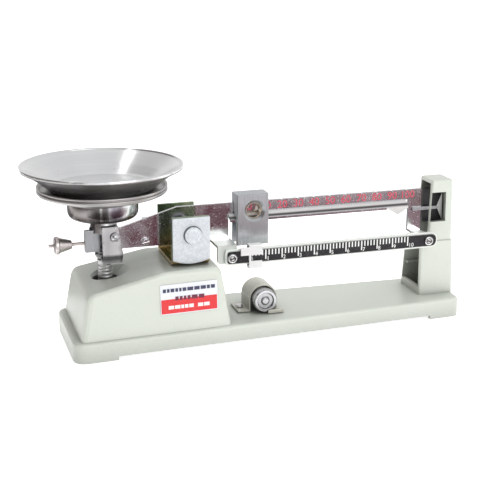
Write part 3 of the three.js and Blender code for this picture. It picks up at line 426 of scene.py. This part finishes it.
# ---------------------------------------------------------------- one material for each slot
MATERIALS = {
    "enamel": enamel("enamel", (0.68, 0.71, 0.645), (0.645, 0.68, 0.61), hole=COLUMN_HOLE),
    "cover_plate": brushed("cover_plate", (0.62, 0.63, 0.64), (1, 12, 12)),
    "dark_screw": polished("dark_screw", (0.45, 0.46, 0.48), 0.25, 0.4),
    "yellow_zinc": zinc_yellow("yellow_zinc"),
    "blue_zinc": zinc_blue("blue_zinc"),
    "knife_steel": brushed("knife_steel", (0.5, 0.5, 0.52), (1, 0.1, 1)),
    "beam_chrome": beam_plating("beam_chrome"),
    "carrier_chrome": polished("carrier_chrome", (0.74, 0.74, 0.76), 0.14, 0.28, hollow_shade=0.5),
    "brushed_steel": brushed(
        "brushed_steel", (0.76, 0.78, 0.81), (2.4, 2.4, 0.12), contrast=0.38, depth=0.4, scale=620,
    ),
    "pan_metal": spun("pan_metal", (0.96, 0.96, 0.96), AXIS, 0.24, 0.85, PAN_SHADE_BELOW),
    "tray_metal": spun("tray_metal", (0.66, 0.64, 0.63), AXIS, 0.3, 0.3, TRAY_SHADE_AND_LIGHT_BELOW, 0.2, 0.2),
    "black_plate": enamel("black_plate", (0.02, 0.02, 0.024), (0.015, 0.015, 0.018), 0.2),
    "label": enamel("label", (0.85, 0.87, 0.92), (0.80, 0.82, 0.87), 0.1),
    "brass": polished("brass", (0.78, 0.70, 0.58), 0.3, 0.45),
    "rubber": enamel("rubber", (0.03, 0.03, 0.03), (0.02, 0.02, 0.02)),
}

# ---------------------------------------------------------------- materials of single nodes
SCREW_STEEL = polished("screw_steel", (0.70, 0.70, 0.70), 0.2, 0.3, hollow_shade=1.0)
WEIGHT_STEEL = polished("weight_steel", (0.60, 0.60, 0.62), 0.2, 0.32, hollow_shade=0.9)
STIRRUP_PLATE_AND_SHADE = stirrup_plating("stirrup_plating", *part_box("stirrup"))
COLUMN_STEEL = brushed("column_steel", (0.72, 0.72, 0.72), (1, 1, 3), 0.42, 0.1, 0.15, hollow_shade=0.1)
BAR_ENAMEL = enamel("bar_enamel", (0.84, 0.86, 0.82), (0.80, 0.83, 0.78), 0.3)
CLIP_ENAMEL = enamel("clip_enamel", (0.74, 0.73, 0.65), (0.68, 0.67, 0.59), 0.6)
NICKEL = polished("satin_nickel", (0.80, 0.74, 0.73), 0.28, 0.4, hollow_shade=0.3)
RIDER_WHITE = polished("rider_plating", (0.86, 0.86, 0.86), 0.38, 0.5, hollow_shade=0.5, metallic=0.4)
CUP_PAINTED_REFLECTION = cup_plating("cup_plating", AXIS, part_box("tare_cup")[0][2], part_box("tare_cup")[1][2])


# ---------------------------------------------------------------- stage
def plane(name, corners, material):
    mesh = bpy.data.meshes.new(name)
    mesh.from_pydata(corners, [], [tuple(range(len(corners)))])
    mesh.materials.append(material)
    made = bpy.data.objects.new(name, mesh)
    bpy.context.scene.collection.objects.link(made)
    return made


def floor_material():
    g = Graph("floor")
    tone = g.grey(g.noise(3, 2), 0.78, 0.80)
    colour = g.node("CombineColor", {0: tone, 1: tone, 2: tone}).outputs[0]
    return g.finish(colour, 0.9, **{"Emission Color": (1, 1, 1), "Emission Strength": 0.75})


def flat(x_range, y_range, z):
    (x0, x1), (y0, y1) = x_range, y_range
    return [(x0, y0, z), (x1, y0, z), (x1, y1, z), (x0, y1, z)]


FLOOR = (-6.0, 6.0)
plane("floor", flat(FLOOR, FLOOR, 0), floor_material())


def area_light(name, at, aim, size, power):
    data = bpy.data.lights.new(name, "AREA")
    data.shape = "RECTANGLE"
    data.size, data.size_y = size
    data.energy = power
    made = bpy.data.objects.new(name, data)
    made.location = at
    made.rotation_euler = (Vector(aim) - Vector(at)).to_track_quat("-Z", "Y").to_euler()
    bpy.context.scene.collection.objects.link(made)
    return made


area_light("front_light", (0.45, -1.6, 0.75), (0, 0, 0.06), (1.1, 0.8), 6.8)
area_light("top_light", (0.1, 0.2, 1.5), (0, 0, 0.05), (0.9, 0.7), 7).visible_glossy = False
area_light("glint_light", (-0.478, 0.409, 1.5), (-0.083, 0, 0.1), (0.06, 0.06), 1.2).visible_diffuse = False

# ---------------------------------------------------------------- what the bright metal mirrors
CARD_X = (-0.30, 0.32)
CARD_HEIGHT = 0.001


def reflection_card(name, corners, stops):
    """A sheet that only bright metal sees, coloured from CARD_X's left to its right by stops."""
    g = Graph(name)
    cloud = g.node("TexNoise", {"Vector": g.coords(), "Scale": 30, "Detail": 4}).outputs["Fac"]
    along = g.math("ADD", g.place()["X"], g.wobble(cloud, 0.09))
    glow = g.ramp(g.grey(along, 0, 1, *CARD_X), stops)
    card = plane(name, corners, g.finish((0, 0, 0), 1.0, **{
        "Specular IOR Level": 0.0, "Emission Color": glow, "Emission Strength": 1.0,
    }))
    card.visible_camera = False
    card.visible_diffuse = False
    card.visible_shadow = False


MAROON, BROWN, PINK = (0.11, 0.035, 0.048), (0.14, 0.08, 0.075), (0.30, 0.22, 0.24)
GREY, LIGHT = (0.16, 0.15, 0.15), (0.6, 0.6, 0.6)
reflection_card("floor_card", flat(CARD_X, (-0.36, -0.10), CARD_HEIGHT), [
    (0.0, LIGHT), (0.12, GREY), (0.36, GREY), (0.375, LIGHT), (0.42, LIGHT), (0.435, MAROON), (0.62, MAROON),
    (0.72, PINK), (0.84, PINK), (0.88, BROWN), (1.0, BROWN),
])
REAR_TONE = (0.34, 0.34, 0.35)
reflection_card("rear_floor_card", flat(CARD_X, (0.10, 0.40), CARD_HEIGHT), [
    (0.0, REAR_TONE), (1.0, REAR_TONE),
])
LEFT_TONE = (0.12, 0.1, 0.095)
LEFT_X, LEFT_TOP = -0.42, 0.5
reflection_card(
    "left_card", [(LEFT_X, -0.5, 0.0), (LEFT_X, 0.6, 0.0), (LEFT_X, 0.6, LEFT_TOP), (LEFT_X, -0.5, LEFT_TOP)],
    [(0.0, LEFT_TONE), (1.0, LEFT_TONE)],
)


def make_world():
    """Bright all round the horizon, greyer overhead and warm and dim on the left."""
    world = bpy.data.worlds.new("studio")
    world.use_nodes = True
    tree = world.node_tree
    background = tree.nodes["Background"]

    def new(kind, **settings):
        made = tree.nodes.new("ShaderNode" + kind)
        for key, value in settings.items():
            setattr(made, key, value)
        return made

    split = new("SeparateXYZ")
    tree.links.new(new("TexCoord").outputs["Generated"], split.inputs[0])
    up = new("MapRange")
    side = new("MapRange")
    for node, socket, values in ((up, "Z", (0.05, 0.85, 0.0, 1.0)), (side, "X", (-0.9, -0.25, 1.0, 0.0))):
        tree.links.new(split.outputs[socket], node.inputs[0])
        for k, value in enumerate(values, 1):
            node.inputs[k].default_value = value
    mixes = []
    for factor, colour in ((up, (0.86, 0.87, 0.88, 1)), (side, (0.30, 0.27, 0.24, 1))):
        mix = new("Mix", data_type="RGBA")
        tree.links.new(factor.outputs[0], mix.inputs[0])
        mix.inputs[6].default_value = (1, 1, 1, 1)
        mix.inputs[7].default_value = colour
        mixes.append(mix)
    tree.links.new(mixes[0].outputs[2], mixes[1].inputs[6])
    tree.links.new(mixes[1].outputs[2], background.inputs["Color"])
    background.inputs["Strength"].default_value = 0.8
    bpy.context.scene.world = world


make_world()

# ---------------------------------------------------------------- pieces
BODY_OF = {node: body for body, members in frame["record"]["behaviour"]["bodies"].items() for node in members}
SLOT_OF = {row["node"]: row["material_slot"] for row in frame["record"]["subparts"]}


def link_piece(name, mesh, body, replaces=()):
    made = bpy.data.objects.new(name, mesh)
    bpy.context.scene.collection.objects.link(made)
    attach(made, body)
    if replaces:
        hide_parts(*replaces)
    return made


def stand_in(node, mesh, material=None):
    """A detailed piece that takes the place of one CAD node, keeps its body and, unless another material is
    given, wears its slot's material.
    """
    slot = SLOT_OF[node]
    mesh.materials.clear()
    mesh.materials.append(material or MATERIALS[slot])
    return link_piece(node + ".look", mesh, BODY_OF[node], [node])


def smooth_by_angle(mesh, degrees):
    """Smooth shading everywhere, broken at edges sharper than this."""
    limit = math.radians(degrees)
    bm = bmesh.new()
    bm.from_mesh(mesh)
    for face in bm.faces:
        face.smooth = True
    for edge in bm.edges:
        edge.smooth = len(edge.link_faces) == 2 and edge.calc_face_angle(0) < limit
    bm.to_mesh(mesh)
    bm.free()


def evaluated(mesh, modifier, **settings):
    """The mesh with one modifier applied to it."""
    holder = bpy.data.objects.new("holder", mesh)
    bpy.context.scene.collection.objects.link(holder)
    step = holder.modifiers.new("step", modifier)
    for key, value in settings.items():
        setattr(step, key, value)
    bpy.context.view_layer.update()
    made = bpy.data.meshes.new_from_object(holder.evaluated_get(bpy.context.evaluated_depsgraph_get()))
    bpy.data.objects.remove(holder)
    return made


def weighted(mesh):
    """Flat faces keep their own direction and only the rounded edges between them turn."""
    return evaluated(mesh, "WEIGHTED_NORMAL", mode="FACE_AREA", weight=80, keep_sharp=True)


WELD = 2e-6
FLAT_ANGLE, HARD_ANGLE = math.radians(0.4), math.radians(30)
BEVEL_SHADE, LATHE_SHADE = 40, 32


def bevelled(node, width):
    """The CAD node with its split corners welded, its flat areas merged and its hard edges rounded."""
    bm = bmesh.new()
    bm.from_mesh(NODES[node].data)
    bmesh.ops.remove_doubles(bm, verts=bm.verts, dist=WELD)
    bmesh.ops.dissolve_limit(
        bm, angle_limit=FLAT_ANGLE, use_dissolve_boundaries=False, verts=bm.verts, edges=bm.edges,
    )
    hard = [e for e in bm.edges if len(e.link_faces) == 2 and e.calc_face_angle(0) > HARD_ANGLE]
    bmesh.ops.bevel(
        bm, geom=hard, offset=width * MM, offset_type="OFFSET", segments=3, profile=0.5,
        affect="EDGES", clamp_overlap=True,
    )
    mesh = bpy.data.meshes.new(node + ".look")
    bm.to_mesh(mesh)
    bm.free()
    smooth_by_angle(mesh, BEVEL_SHADE)
    return weighted(mesh)


def rounded_profile(points):
    """Points are (r, z) or (r, z, radius); a radius rounds that corner."""
    steps = 5
    out = []
    count = len(points)
    for i, point in enumerate(points):
        here = Vector(point[:2])
        radius = point[2] if len(point) > 2 else 0
        if not radius:
            out.append(tuple(here))
            continue
        back = Vector(points[i - 1][:2]) - here
        ahead = Vector(points[(i + 1) % count][:2]) - here
        half = back.angle(ahead) / 2
        room = 0.49  # of a side, so that two rounded corners never meet
        reach = min(radius / math.tan(half), back.length * room, ahead.length * room)
        start, end = here + back.normalized() * reach, here + ahead.normalized() * reach
        for k in range(steps + 1):
            t = k / steps
            out.append(tuple(start * (1 - t) ** 2 + here * 2 * t * (1 - t) + end * t * t))
    return out


def lathe(points, centre, axis="z", segments=128):
    """A closed (radius, along) profile in millimetres turned round an axis through centre."""
    ring = rounded_profile(points)
    bm = bmesh.new()
    rows = []
    for r, along in ring:
        if r < 1e-6:
            rows.append([bm.verts.new(axis_point(0, along, 0, centre, axis))])
            continue
        turns = [2 * math.pi * k / segments for k in range(segments)]
        rows.append([bm.verts.new(axis_point(r, along, turn, centre, axis)) for turn in turns])
    for i in range(len(rows)):
        a, b = rows[i], rows[(i + 1) % len(rows)]
        if len(a) == 1 and len(b) == 1:
            continue
        for k in range(segments):
            n = (k + 1) % segments
            if len(a) == 1:
                bm.faces.new((a[0], b[k], b[n]))
            elif len(b) == 1:
                bm.faces.new((a[k], b[0], a[n]))
            else:
                bm.faces.new((a[k], b[k], b[n], a[n]))
    bmesh.ops.recalc_face_normals(bm, faces=bm.faces)
    mesh = bpy.data.meshes.new("turned")
    bm.to_mesh(mesh)
    bm.free()
    smooth_by_angle(mesh, LATHE_SHADE)
    return mesh


def axis_point(r, along, angle, centre, axis):
    a, b = r * math.cos(angle), r * math.sin(angle)
    x, y, z = {"x": (along, a, b), "y": (a, along, b), "z": (a, b, along)}[axis]
    return Vector((centre[0] + x, centre[1] + y, centre[2] + z)) * MM


def joined(*meshes, name="joined"):
    bm = bmesh.new()
    for mesh in meshes:
        bm.from_mesh(mesh)
    made = bpy.data.meshes.new(name)
    bm.to_mesh(made)
    bm.free()
    return made


def box_mesh(x, y, z, name):
    bm = bmesh.new()
    bmesh.ops.create_cube(bm, size=1)
    for vert in bm.verts:
        vert.co = Vector((
            (x[0] + x[1]) / 2 + vert.co.x * (x[1] - x[0]),
            (y[0] + y[1]) / 2 + vert.co.y * (y[1] - y[0]),
            (z[0] + z[1]) / 2 + vert.co.z * (z[1] - z[0]),
        )) * MM
    mesh = bpy.data.meshes.new(name)
    bm.to_mesh(mesh)
    bm.free()
    smooth_by_angle(mesh, BEVEL_SHADE)
    return mesh


# ---------------------------------------------------------------- marks: numbers, ticks, bars
FONT_SIZE = 1.37  # font size for figures one millimetre tall
PRINT = 0.06  # thickness of printed ticks, bars and the index mark


def text_mesh(text, height, at, y):
    """Figures standing in the XZ plane, facing the front, centred on at."""
    curve = bpy.data.curves.new("text", "FONT")
    curve.body = text
    curve.size = height * FONT_SIZE * MM
    curve.align_x = "CENTER"
    curve.align_y = "CENTER"
    curve.extrude = PRINT / 2 * MM
    curve.resolution_u = 3
    holder = bpy.data.objects.new("text", curve)
    bpy.context.scene.collection.objects.link(holder)
    bpy.context.view_layer.update()
    shown = holder.evaluated_get(bpy.context.evaluated_depsgraph_get())
    mesh = bpy.data.meshes.new_from_object(shown)
    bpy.data.objects.remove(holder)
    upright = Matrix.Rotation(math.radians(90), 4, "X")
    mesh.transform(Matrix.Translation(Vector((at[0], y, at[1])) * MM) @ upright)
    return mesh


def bar_mesh(x, z, y, thickness=PRINT):
    return box_mesh(x, (y - thickness, y), z, "bar")


def marks(name, meshes, material, body):
    """Printed marks as one piece that rides on a body."""
    mesh = joined(*meshes, name=name)
    mesh.materials.clear()
    mesh.materials.append(material)
    return link_piece(name, mesh, body)


def print_ink(name, colour):
    """Printed ink, worn paler in patches."""
    g = Graph(name)
    wear = g.noise(900, 3)
    worn = tuple(min(1, c * 0.75 + 0.08) for c in colour)
    return g.finish(g.mix(g.grey(wear, 0, 0.35, 0.45, 0.7), colour, worn), 0.45)


# ---------------------------------------------------------------- where the CAD nodes are, in millimetres
def extent(node):
    low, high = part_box(node)
    return [[v / MM for v in low], [v / MM for v in high]]


def middle(node):
    low, high = extent(node)
    return [(a + b) / 2 for a, b in zip(low, high)]


# ---------------------------------------------------------------- pan, tray and cup
PAN_AXIS = [middle("weighing_pan")[0], 0, 0]


def heights(node):
    low, high = extent(node)
    return low[2], high[2]


def pan_mesh():
    """Flat floor, slanting wall and a rolled rim, all of one thin sheet."""
    foot, rim = heights("weighing_pan")
    sheet = 0.8
    outside = [
        (0, foot), (29.2, foot, 1.4), (30.3, foot + 0.9, 1.2), (35.3, foot + 5.2, 4), (40.7, foot + 9.2, 6),
        (43.4, 102.2, 0.3), (43.9, 101.8, 0.4), (45, 102.0, 0.7), (45, rim, 0.9),
    ]
    inside = [
        (43.7, rim, 0.6), (43.3, 103.1, 0.3), (40.2, foot + 9.8, 6), (34.8, foot + 5.8, 4),
        (29.8, foot + 1.5, 1.2), (28.4, foot + sheet, 1.0), (0, foot + sheet),
    ]
    return lathe(outside + inside, PAN_AXIS, segments=192)


def tray_mesh():
    """A flat plate with a cone under it and a grooved edge that stands up round the pan's foot."""
    foot, top = heights("pan_tray")
    below = [
        (0, top - 2.7), (32, top - 2.7), (23.4, foot + 1.7), (17.8, foot + 1), (17.8, foot),
        (21.5, foot, 0.4), (24, foot + 0.8, 2),
    ]
    edge = [
        (34.4, top - 4.2, 0.8), (35.4, top - 3.7, 0.5), (36, top - 3, 0.5), (36, top - 1.9, 0.4),
        (35.2, top - 1.6, 0.1), (35.2, top - 1.2, 0.1), (36, top - 0.9, 0.3), (36, top, 0.35),
    ]
    above = [(34.8, top, 0.4), (33.6, top - 1.9, 0.6), (0, top - 1.9)]
    return lathe(below + edge + above, PAN_AXIS, segments=160)


def cup_mesh():
    low, high = extent("tare_cup")
    foot, rim = low[2], high[2]
    r = (high[0] - low[0]) / 2
    wall = 1
    return lathe([
        (0, foot), (r, foot, 6.5), (r, rim, 0.25),
        (r - wall, rim, 0.25), (r - wall, foot + wall, 5.5), (0, foot + wall),
    ], PAN_AXIS)


stand_in("weighing_pan", pan_mesh())
stand_in("pan_tray", tray_mesh())
stand_in("tare_cup", cup_mesh(), CUP_PAINTED_REFLECTION)


# ---------------------------------------------------------------- zero adjuster
def thread(start, end, crest, root, pitch):
    """The profile of a rod whose ridges stand pitch apart."""
    points = [(0, start), (root, start)]
    at = start + pitch / 2
    while at < end - pitch:
        rise, top, fall = at + pitch * 0.35, at + pitch * 0.5, at + pitch * 0.85
        points += [(root, at), (crest, rise), (crest, top), (root, fall)]
        at += pitch
    return points + [(root, end), (0, end)]


def axis_through(node, along):
    """The middle of a node, with zero for the place along its own axis."""
    at = middle(node)
    at["xyz".index(along)] = 0
    return at


ROD_AXIS = axis_through("adjusting_rod", "x")
rod_low, rod_high = extent("adjusting_rod")
rod_profile = thread(rod_low[0], rod_high[0], crest=1, root=0.82, pitch=0.5)
stand_in("adjusting_rod", lathe(rod_profile, ROD_AXIS, "x", 32), NICKEL)
nut_low, nut_high = extent("adjusting_nut")
NUT_LEFT, NUT_RIGHT, NUT_BORE = nut_low[0], nut_high[0], 1.3
stand_in("adjusting_nut", lathe([
    (NUT_BORE, NUT_LEFT), (4.7, NUT_LEFT, 0.4), (5.1, NUT_LEFT + 0.5, 0.2), (5.1, NUT_LEFT + 1.9, 0.2),
    (4.7, NUT_LEFT + 2.4, 0.3), (4.4, NUT_LEFT + 2.5, 0.3), (2.4, NUT_RIGHT, 0.4), (NUT_BORE, NUT_RIGHT),
], ROD_AXIS, "x", 96), NICKEL)


# ---------------------------------------------------------------- spare weight, feet and screws
def weight_mesh():
    """A drum with a raised ring and a knob on its front face and a groove round it."""
    low, high = extent("spare_weight")
    front, back, r = low[1], high[1], 7.1
    face = [
        (0, front + 0.5), (1.8, front + 0.5, 0.5), (2.6, front + 1.5, 0.4), (4.6, front + 1.5, 0.3),
        (5, front + 0.2, 0.3), (6.4, front, 0.4), (r, front + 0.8, 0.4),
    ]
    groove = [(r, front + 5, 0.1), (6.7, front + 5.3, 0.1), (6.7, front + 5.8, 0.1), (r, front + 6.1, 0.1)]
    return lathe(face + groove + [(r, back, 0.6), (0, back)], axis_through("spare_weight", "y"), "y", 96)


def foot_mesh(node):
    low, high = extent(node)
    r, top = (high[0] - low[0]) / 2, high[2] - 0.15
    return lathe([
        (0, low[2]), (r - 0.9, low[2], 0.5), (r - 0.2, low[2] + 0.9, 0.4), (r, top, 0.2), (0, top),
    ], axis_through(node, "z"), "z", 48)


stand_in("spare_weight", weight_mesh(), WEIGHT_STEEL)
for i in range(1, 5):
    stand_in(f"rubber_foot_{i}", foot_mesh(f"rubber_foot_{i}"))

HEAD = {"y": 1.5, "z": 1.4}
SHANK = {"y": 1.15, "z": 1.05}
GROOVE_ACROSS, GROOVE_DEEP = (-0.3, 0.3), (-0.55, 0.55)


def screw_head(node, axis, sign, slot_angle, ring=False):
    """A chamfered head with a real slot, and its shank; with ring, an eyelet that has the slot inside it."""
    low, high = extent(node)
    k = "xyz".index(axis)
    r = (high[0] - low[0]) / 2
    face, tip = (low[k], high[k]) if sign < 0 else (high[k], low[k])
    step = -sign
    seat = face + step * HEAD[axis]
    points = [(0, tip), (SHANK[axis], tip), (SHANK[axis], seat), (r, seat, 0.2)]
    if ring:
        points += [
            (r, face + step * 0.3, 0.3), (r * 0.8, face, 0.2), (r * 0.66, face + step * 0.2, 0.1),
            (r * 0.6, face + step * 0.8), (r * 0.52, face + step * 0.3, 0.15), (0, face + step * 0.15),
        ]
    else:
        points += [(r, face + step * 0.4, 0.3), (r * 0.72, face, 0.3), (0, face)]
    mid = axis_through(node, axis)
    mesh = lathe(points, mid, axis, 64)
    half = r * (0.5 if ring else 1.2)
    groove = box_mesh((-half, half), GROOVE_ACROSS, GROOVE_DEEP, "groove")
    turn = Matrix.Rotation(slot_angle, 4, "Z")
    if axis == "y":
        turn = Matrix.Rotation(math.radians(90), 4, "X") @ turn
    place = Vector(mid)
    place[k] = face
    groove.transform(Matrix.Translation(place * MM) @ turn)
    return carved(mesh, groove)


def carved(mesh, cutter):
    """The mesh with the cutter's shape taken out of it."""
    tool = bpy.data.objects.new("tool", cutter)
    bpy.context.scene.collection.objects.link(tool)
    made = evaluated(mesh, "BOOLEAN", object=tool, operation="DIFFERENCE", solver="EXACT")
    bpy.data.objects.remove(tool)
    smooth_by_angle(made, LATHE_SHADE)
    return made


stand_in("scale_screw_1", screw_head("scale_screw_1", "y", -1, math.radians(35), True), SCREW_STEEL)
stand_in("scale_screw_2", screw_head("scale_screw_2", "y", -1, math.radians(-20), True), SCREW_STEEL)
stand_in("clip_screw", screw_head("clip_screw", "z", 1, math.radians(70)))
stand_in("trim_block_screw", screw_head("trim_block_screw", "y", -1, math.radians(10)))

# ---------------------------------------------------------------- domed heads on the pivots
def domed(node, edge, profile, segments):
    """The CAD node with a dome turned from (radius, behind the front face, rounding) in front of it."""
    face = extent(node)[0][1]
    points = [(r, face + behind, *rounding) for r, behind, *rounding in profile]
    return joined(bevelled(node, edge), lathe(points, axis_through(node, "y"), "y", segments))


PLUG_DOME = [(0, -0.35), (3.4, -0.3, 1.2), (4.3, 0.4, 0.6), (4.75, 1.9, 0.2), (4.2, 1.9), (0, 1.9)]
BEARING_DOME = [(0, -0.7), (0.9, -0.6, 0.5), (1.9, 0, 0.5), (2.1, 0.6), (0, 0.6)]
stand_in("bearing_plug_front", domed("bearing_plug_front", 0.1, PLUG_DOME, 96))
stand_in("pan_bearing_front", domed("pan_bearing_front", 0.25, BEARING_DOME, 64), MATERIALS["carrier_chrome"])

# ---------------------------------------------------------------- every other node, with rounded edges
EDGE = {
    "base_casting": 0.35, "fulcrum_bracket": 0.35, "bearing_cover_plate": 0.3, "stirrup": 0.85,
    "rear_poise": 0.2, "front_beam": 0.4, "weight_clip": 0.25, "beam_plate": 0.25, "end_block": 0.3,
    "trim_block": 0.3, "front_rider": 0.2, "rating_label": 0.04, "front_scale": 0.08, "index_plate": 0.1,
    "reading_window_ring": 0.04, "pointer": 0.12,
}
OTHER_EDGE = 0.15
OWN_LOOK = {
    "front_rider": RIDER_WHITE, "column": COLUMN_STEEL, "stirrup": STIRRUP_PLATE_AND_SHADE,
    "front_beam": BAR_ENAMEL, "weight_clip": CLIP_ENAMEL,
}
for name in sorted(NODES):
    if not NODES[name].hide_render:
        stand_in(name, bevelled(name, EDGE.get(name, OTHER_EDGE)), OWN_LOOK.get(name))

# ---------------------------------------------------------------- marks on the rear beam
RED = print_ink("red_figures", (0.72, 0.06, 0.11))
WHITE = print_ink("white_figures", (0.85, 0.86, 0.84))
DARK = print_ink("dark_print", (0.05, 0.055, 0.11))
LABEL_RED = print_ink("label_red", (0.75, 0.03, 0.035))
MAROON_INK = print_ink("maroon_print", (0.16, 0.02, 0.05))
BEAM_FACE = -1.0
REAR_ZERO, REAR_PITCH = 1.8, 10.0
NUMBER_Z, NUMBER_TALL = 73.3, 4.7

rear_numbers = [
    text_mesh(str(10 * i), NUMBER_TALL, (REAR_ZERO + REAR_PITCH * i, NUMBER_Z), BEAM_FACE) for i in range(11)
]
marks("rear_beam_figures", rear_numbers, RED, "beam")

# ---------------------------------------------------------------- marks on the front scale
scale_low, scale_high = extent("front_scale")
SCALE_FACE = scale_low[1]
FRONT_ZERO, FRONT_GRAM, TICKS_PER_GRAM = -4.5, 9.83, 5
LONG_TICK, SHORT_TICK, HALF_TICK = 5.7, 3.3, 0.36
ticks = []
for k in range(10 * TICKS_PER_GRAM + 1):
    x = FRONT_ZERO + k * FRONT_GRAM / TICKS_PER_GRAM
    drop = LONG_TICK if k % TICKS_PER_GRAM == 0 else SHORT_TICK
    tall = (scale_high[2] - drop, scale_high[2] - 0.1)
    ticks.append(bar_mesh((x - HALF_TICK, x + HALF_TICK), tall, SCALE_FACE))
figures = []
for i in range(11):
    beside = 2.3 if i == 10 else 1.4
    at = (FRONT_ZERO + FRONT_GRAM * i + beside, scale_low[2] + 1.55)
    figures.append(text_mesh(str(i), 2.5, at, SCALE_FACE))
marks("front_scale_marks", ticks + figures, WHITE, "beam")


# ---------------------------------------------------------------- marks on the index plate and the label
def index_mark():
    """The white wedge on the index plate whose point marks zero."""
    low, high = extent("index_plate")
    y = low[1]
    corners = [(122.9, 63.9), (high[0] - 0.2, 55.4), (high[0] - 0.7, 72.4)]
    bm = bmesh.new()
    front = [bm.verts.new(Vector((x, y - PRINT, z)) * MM) for x, z in corners]
    back = [bm.verts.new(Vector((x, y, z)) * MM) for x, z in corners]
    bm.faces.new(front)
    bm.faces.new(back[::-1])
    for i in range(3):
        j = (i + 1) % 3
        bm.faces.new((front[j], front[i], back[i], back[j]))
    bmesh.ops.recalc_face_normals(bm, faces=bm.faces)
    mesh = bpy.data.meshes.new("index_mark")
    bm.to_mesh(mesh)
    bm.free()
    return mesh


marks("index_mark", [index_mark()], WHITE, "base")


def on_label(mesh):
    """Lays a flat mark made at y = 0 on the slanting face of the label."""
    low, high = extent("rating_label")
    mid = middle("rating_label")
    corners = {}
    for p in (v.co for v in NODES["rating_label"].data.vertices):
        key = (p.x / MM > mid[0], p.z / MM > mid[2])
        corners[key] = min(corners.get(key, math.inf), p.y)
    for v in mesh.vertices:
        s = (v.co.x / MM - low[0]) / (high[0] - low[0])
        t = (v.co.z / MM - low[2]) / (high[2] - low[2])
        bottom = corners[(False, False)] * (1 - s) + corners[(True, False)] * s
        top = corners[(False, True)] * (1 - s) + corners[(True, True)] * s
        v.co.y += bottom * (1 - t) + top * t
    return mesh


label_low, label_high = extent("rating_label")
LEFT, BOTTOM, RIGHT, TOP = label_low[0], label_low[2], label_high[0], label_high[2]
SHORTEST_BAR, LONGEST_BAR = 1.2, 3.6
OVER_BAND = -0.05 * MM
random.seed(4)


def dashes(x0, x1, z, height, gap):
    """A row of short bars where a line of words would be."""
    out = []
    x = x0
    while x < x1 - 1:
        wide = min(random.uniform(SHORTEST_BAR, LONGEST_BAR), x1 - x)
        out.append(bar_mesh((x, x + wide), (z - height / 2, z + height / 2), 0))
        x += wide + gap
    return out


dark_bars = dashes(LEFT + 1.5, RIGHT - 1.5, TOP - 3.4, 2.0, 0.6)
marks("label_bars", [on_label(m) for m in dark_bars], DARK, "base")
band = bar_mesh((LEFT + 0.4, RIGHT - 0.4), (BOTTOM + 0.5, BOTTOM + 8.6), 0, 0.05)
marks("label_band", [on_label(band)], LABEL_RED, "base")
middle_bars = dashes(LEFT + 8.5, RIGHT - 6.5, TOP - 8.2, 2.2, 0.7)
light_bars = dashes(LEFT + 4.5, LEFT + 19, BOTTOM + 3.9, 2.0, 0.5)
light_bars += dashes(LEFT + 21.5, RIGHT - 3.5, BOTTOM + 3.9, 2.0, 0.5)
for m in middle_bars + light_bars:
    m.transform(Matrix.Translation((0, OVER_BAND, 0)))
marks("label_middle_bars", [on_label(m) for m in middle_bars], MAROON_INK, "base")
marks("label_light_bars", [on_label(m) for m in light_bars], WHITE, "base")
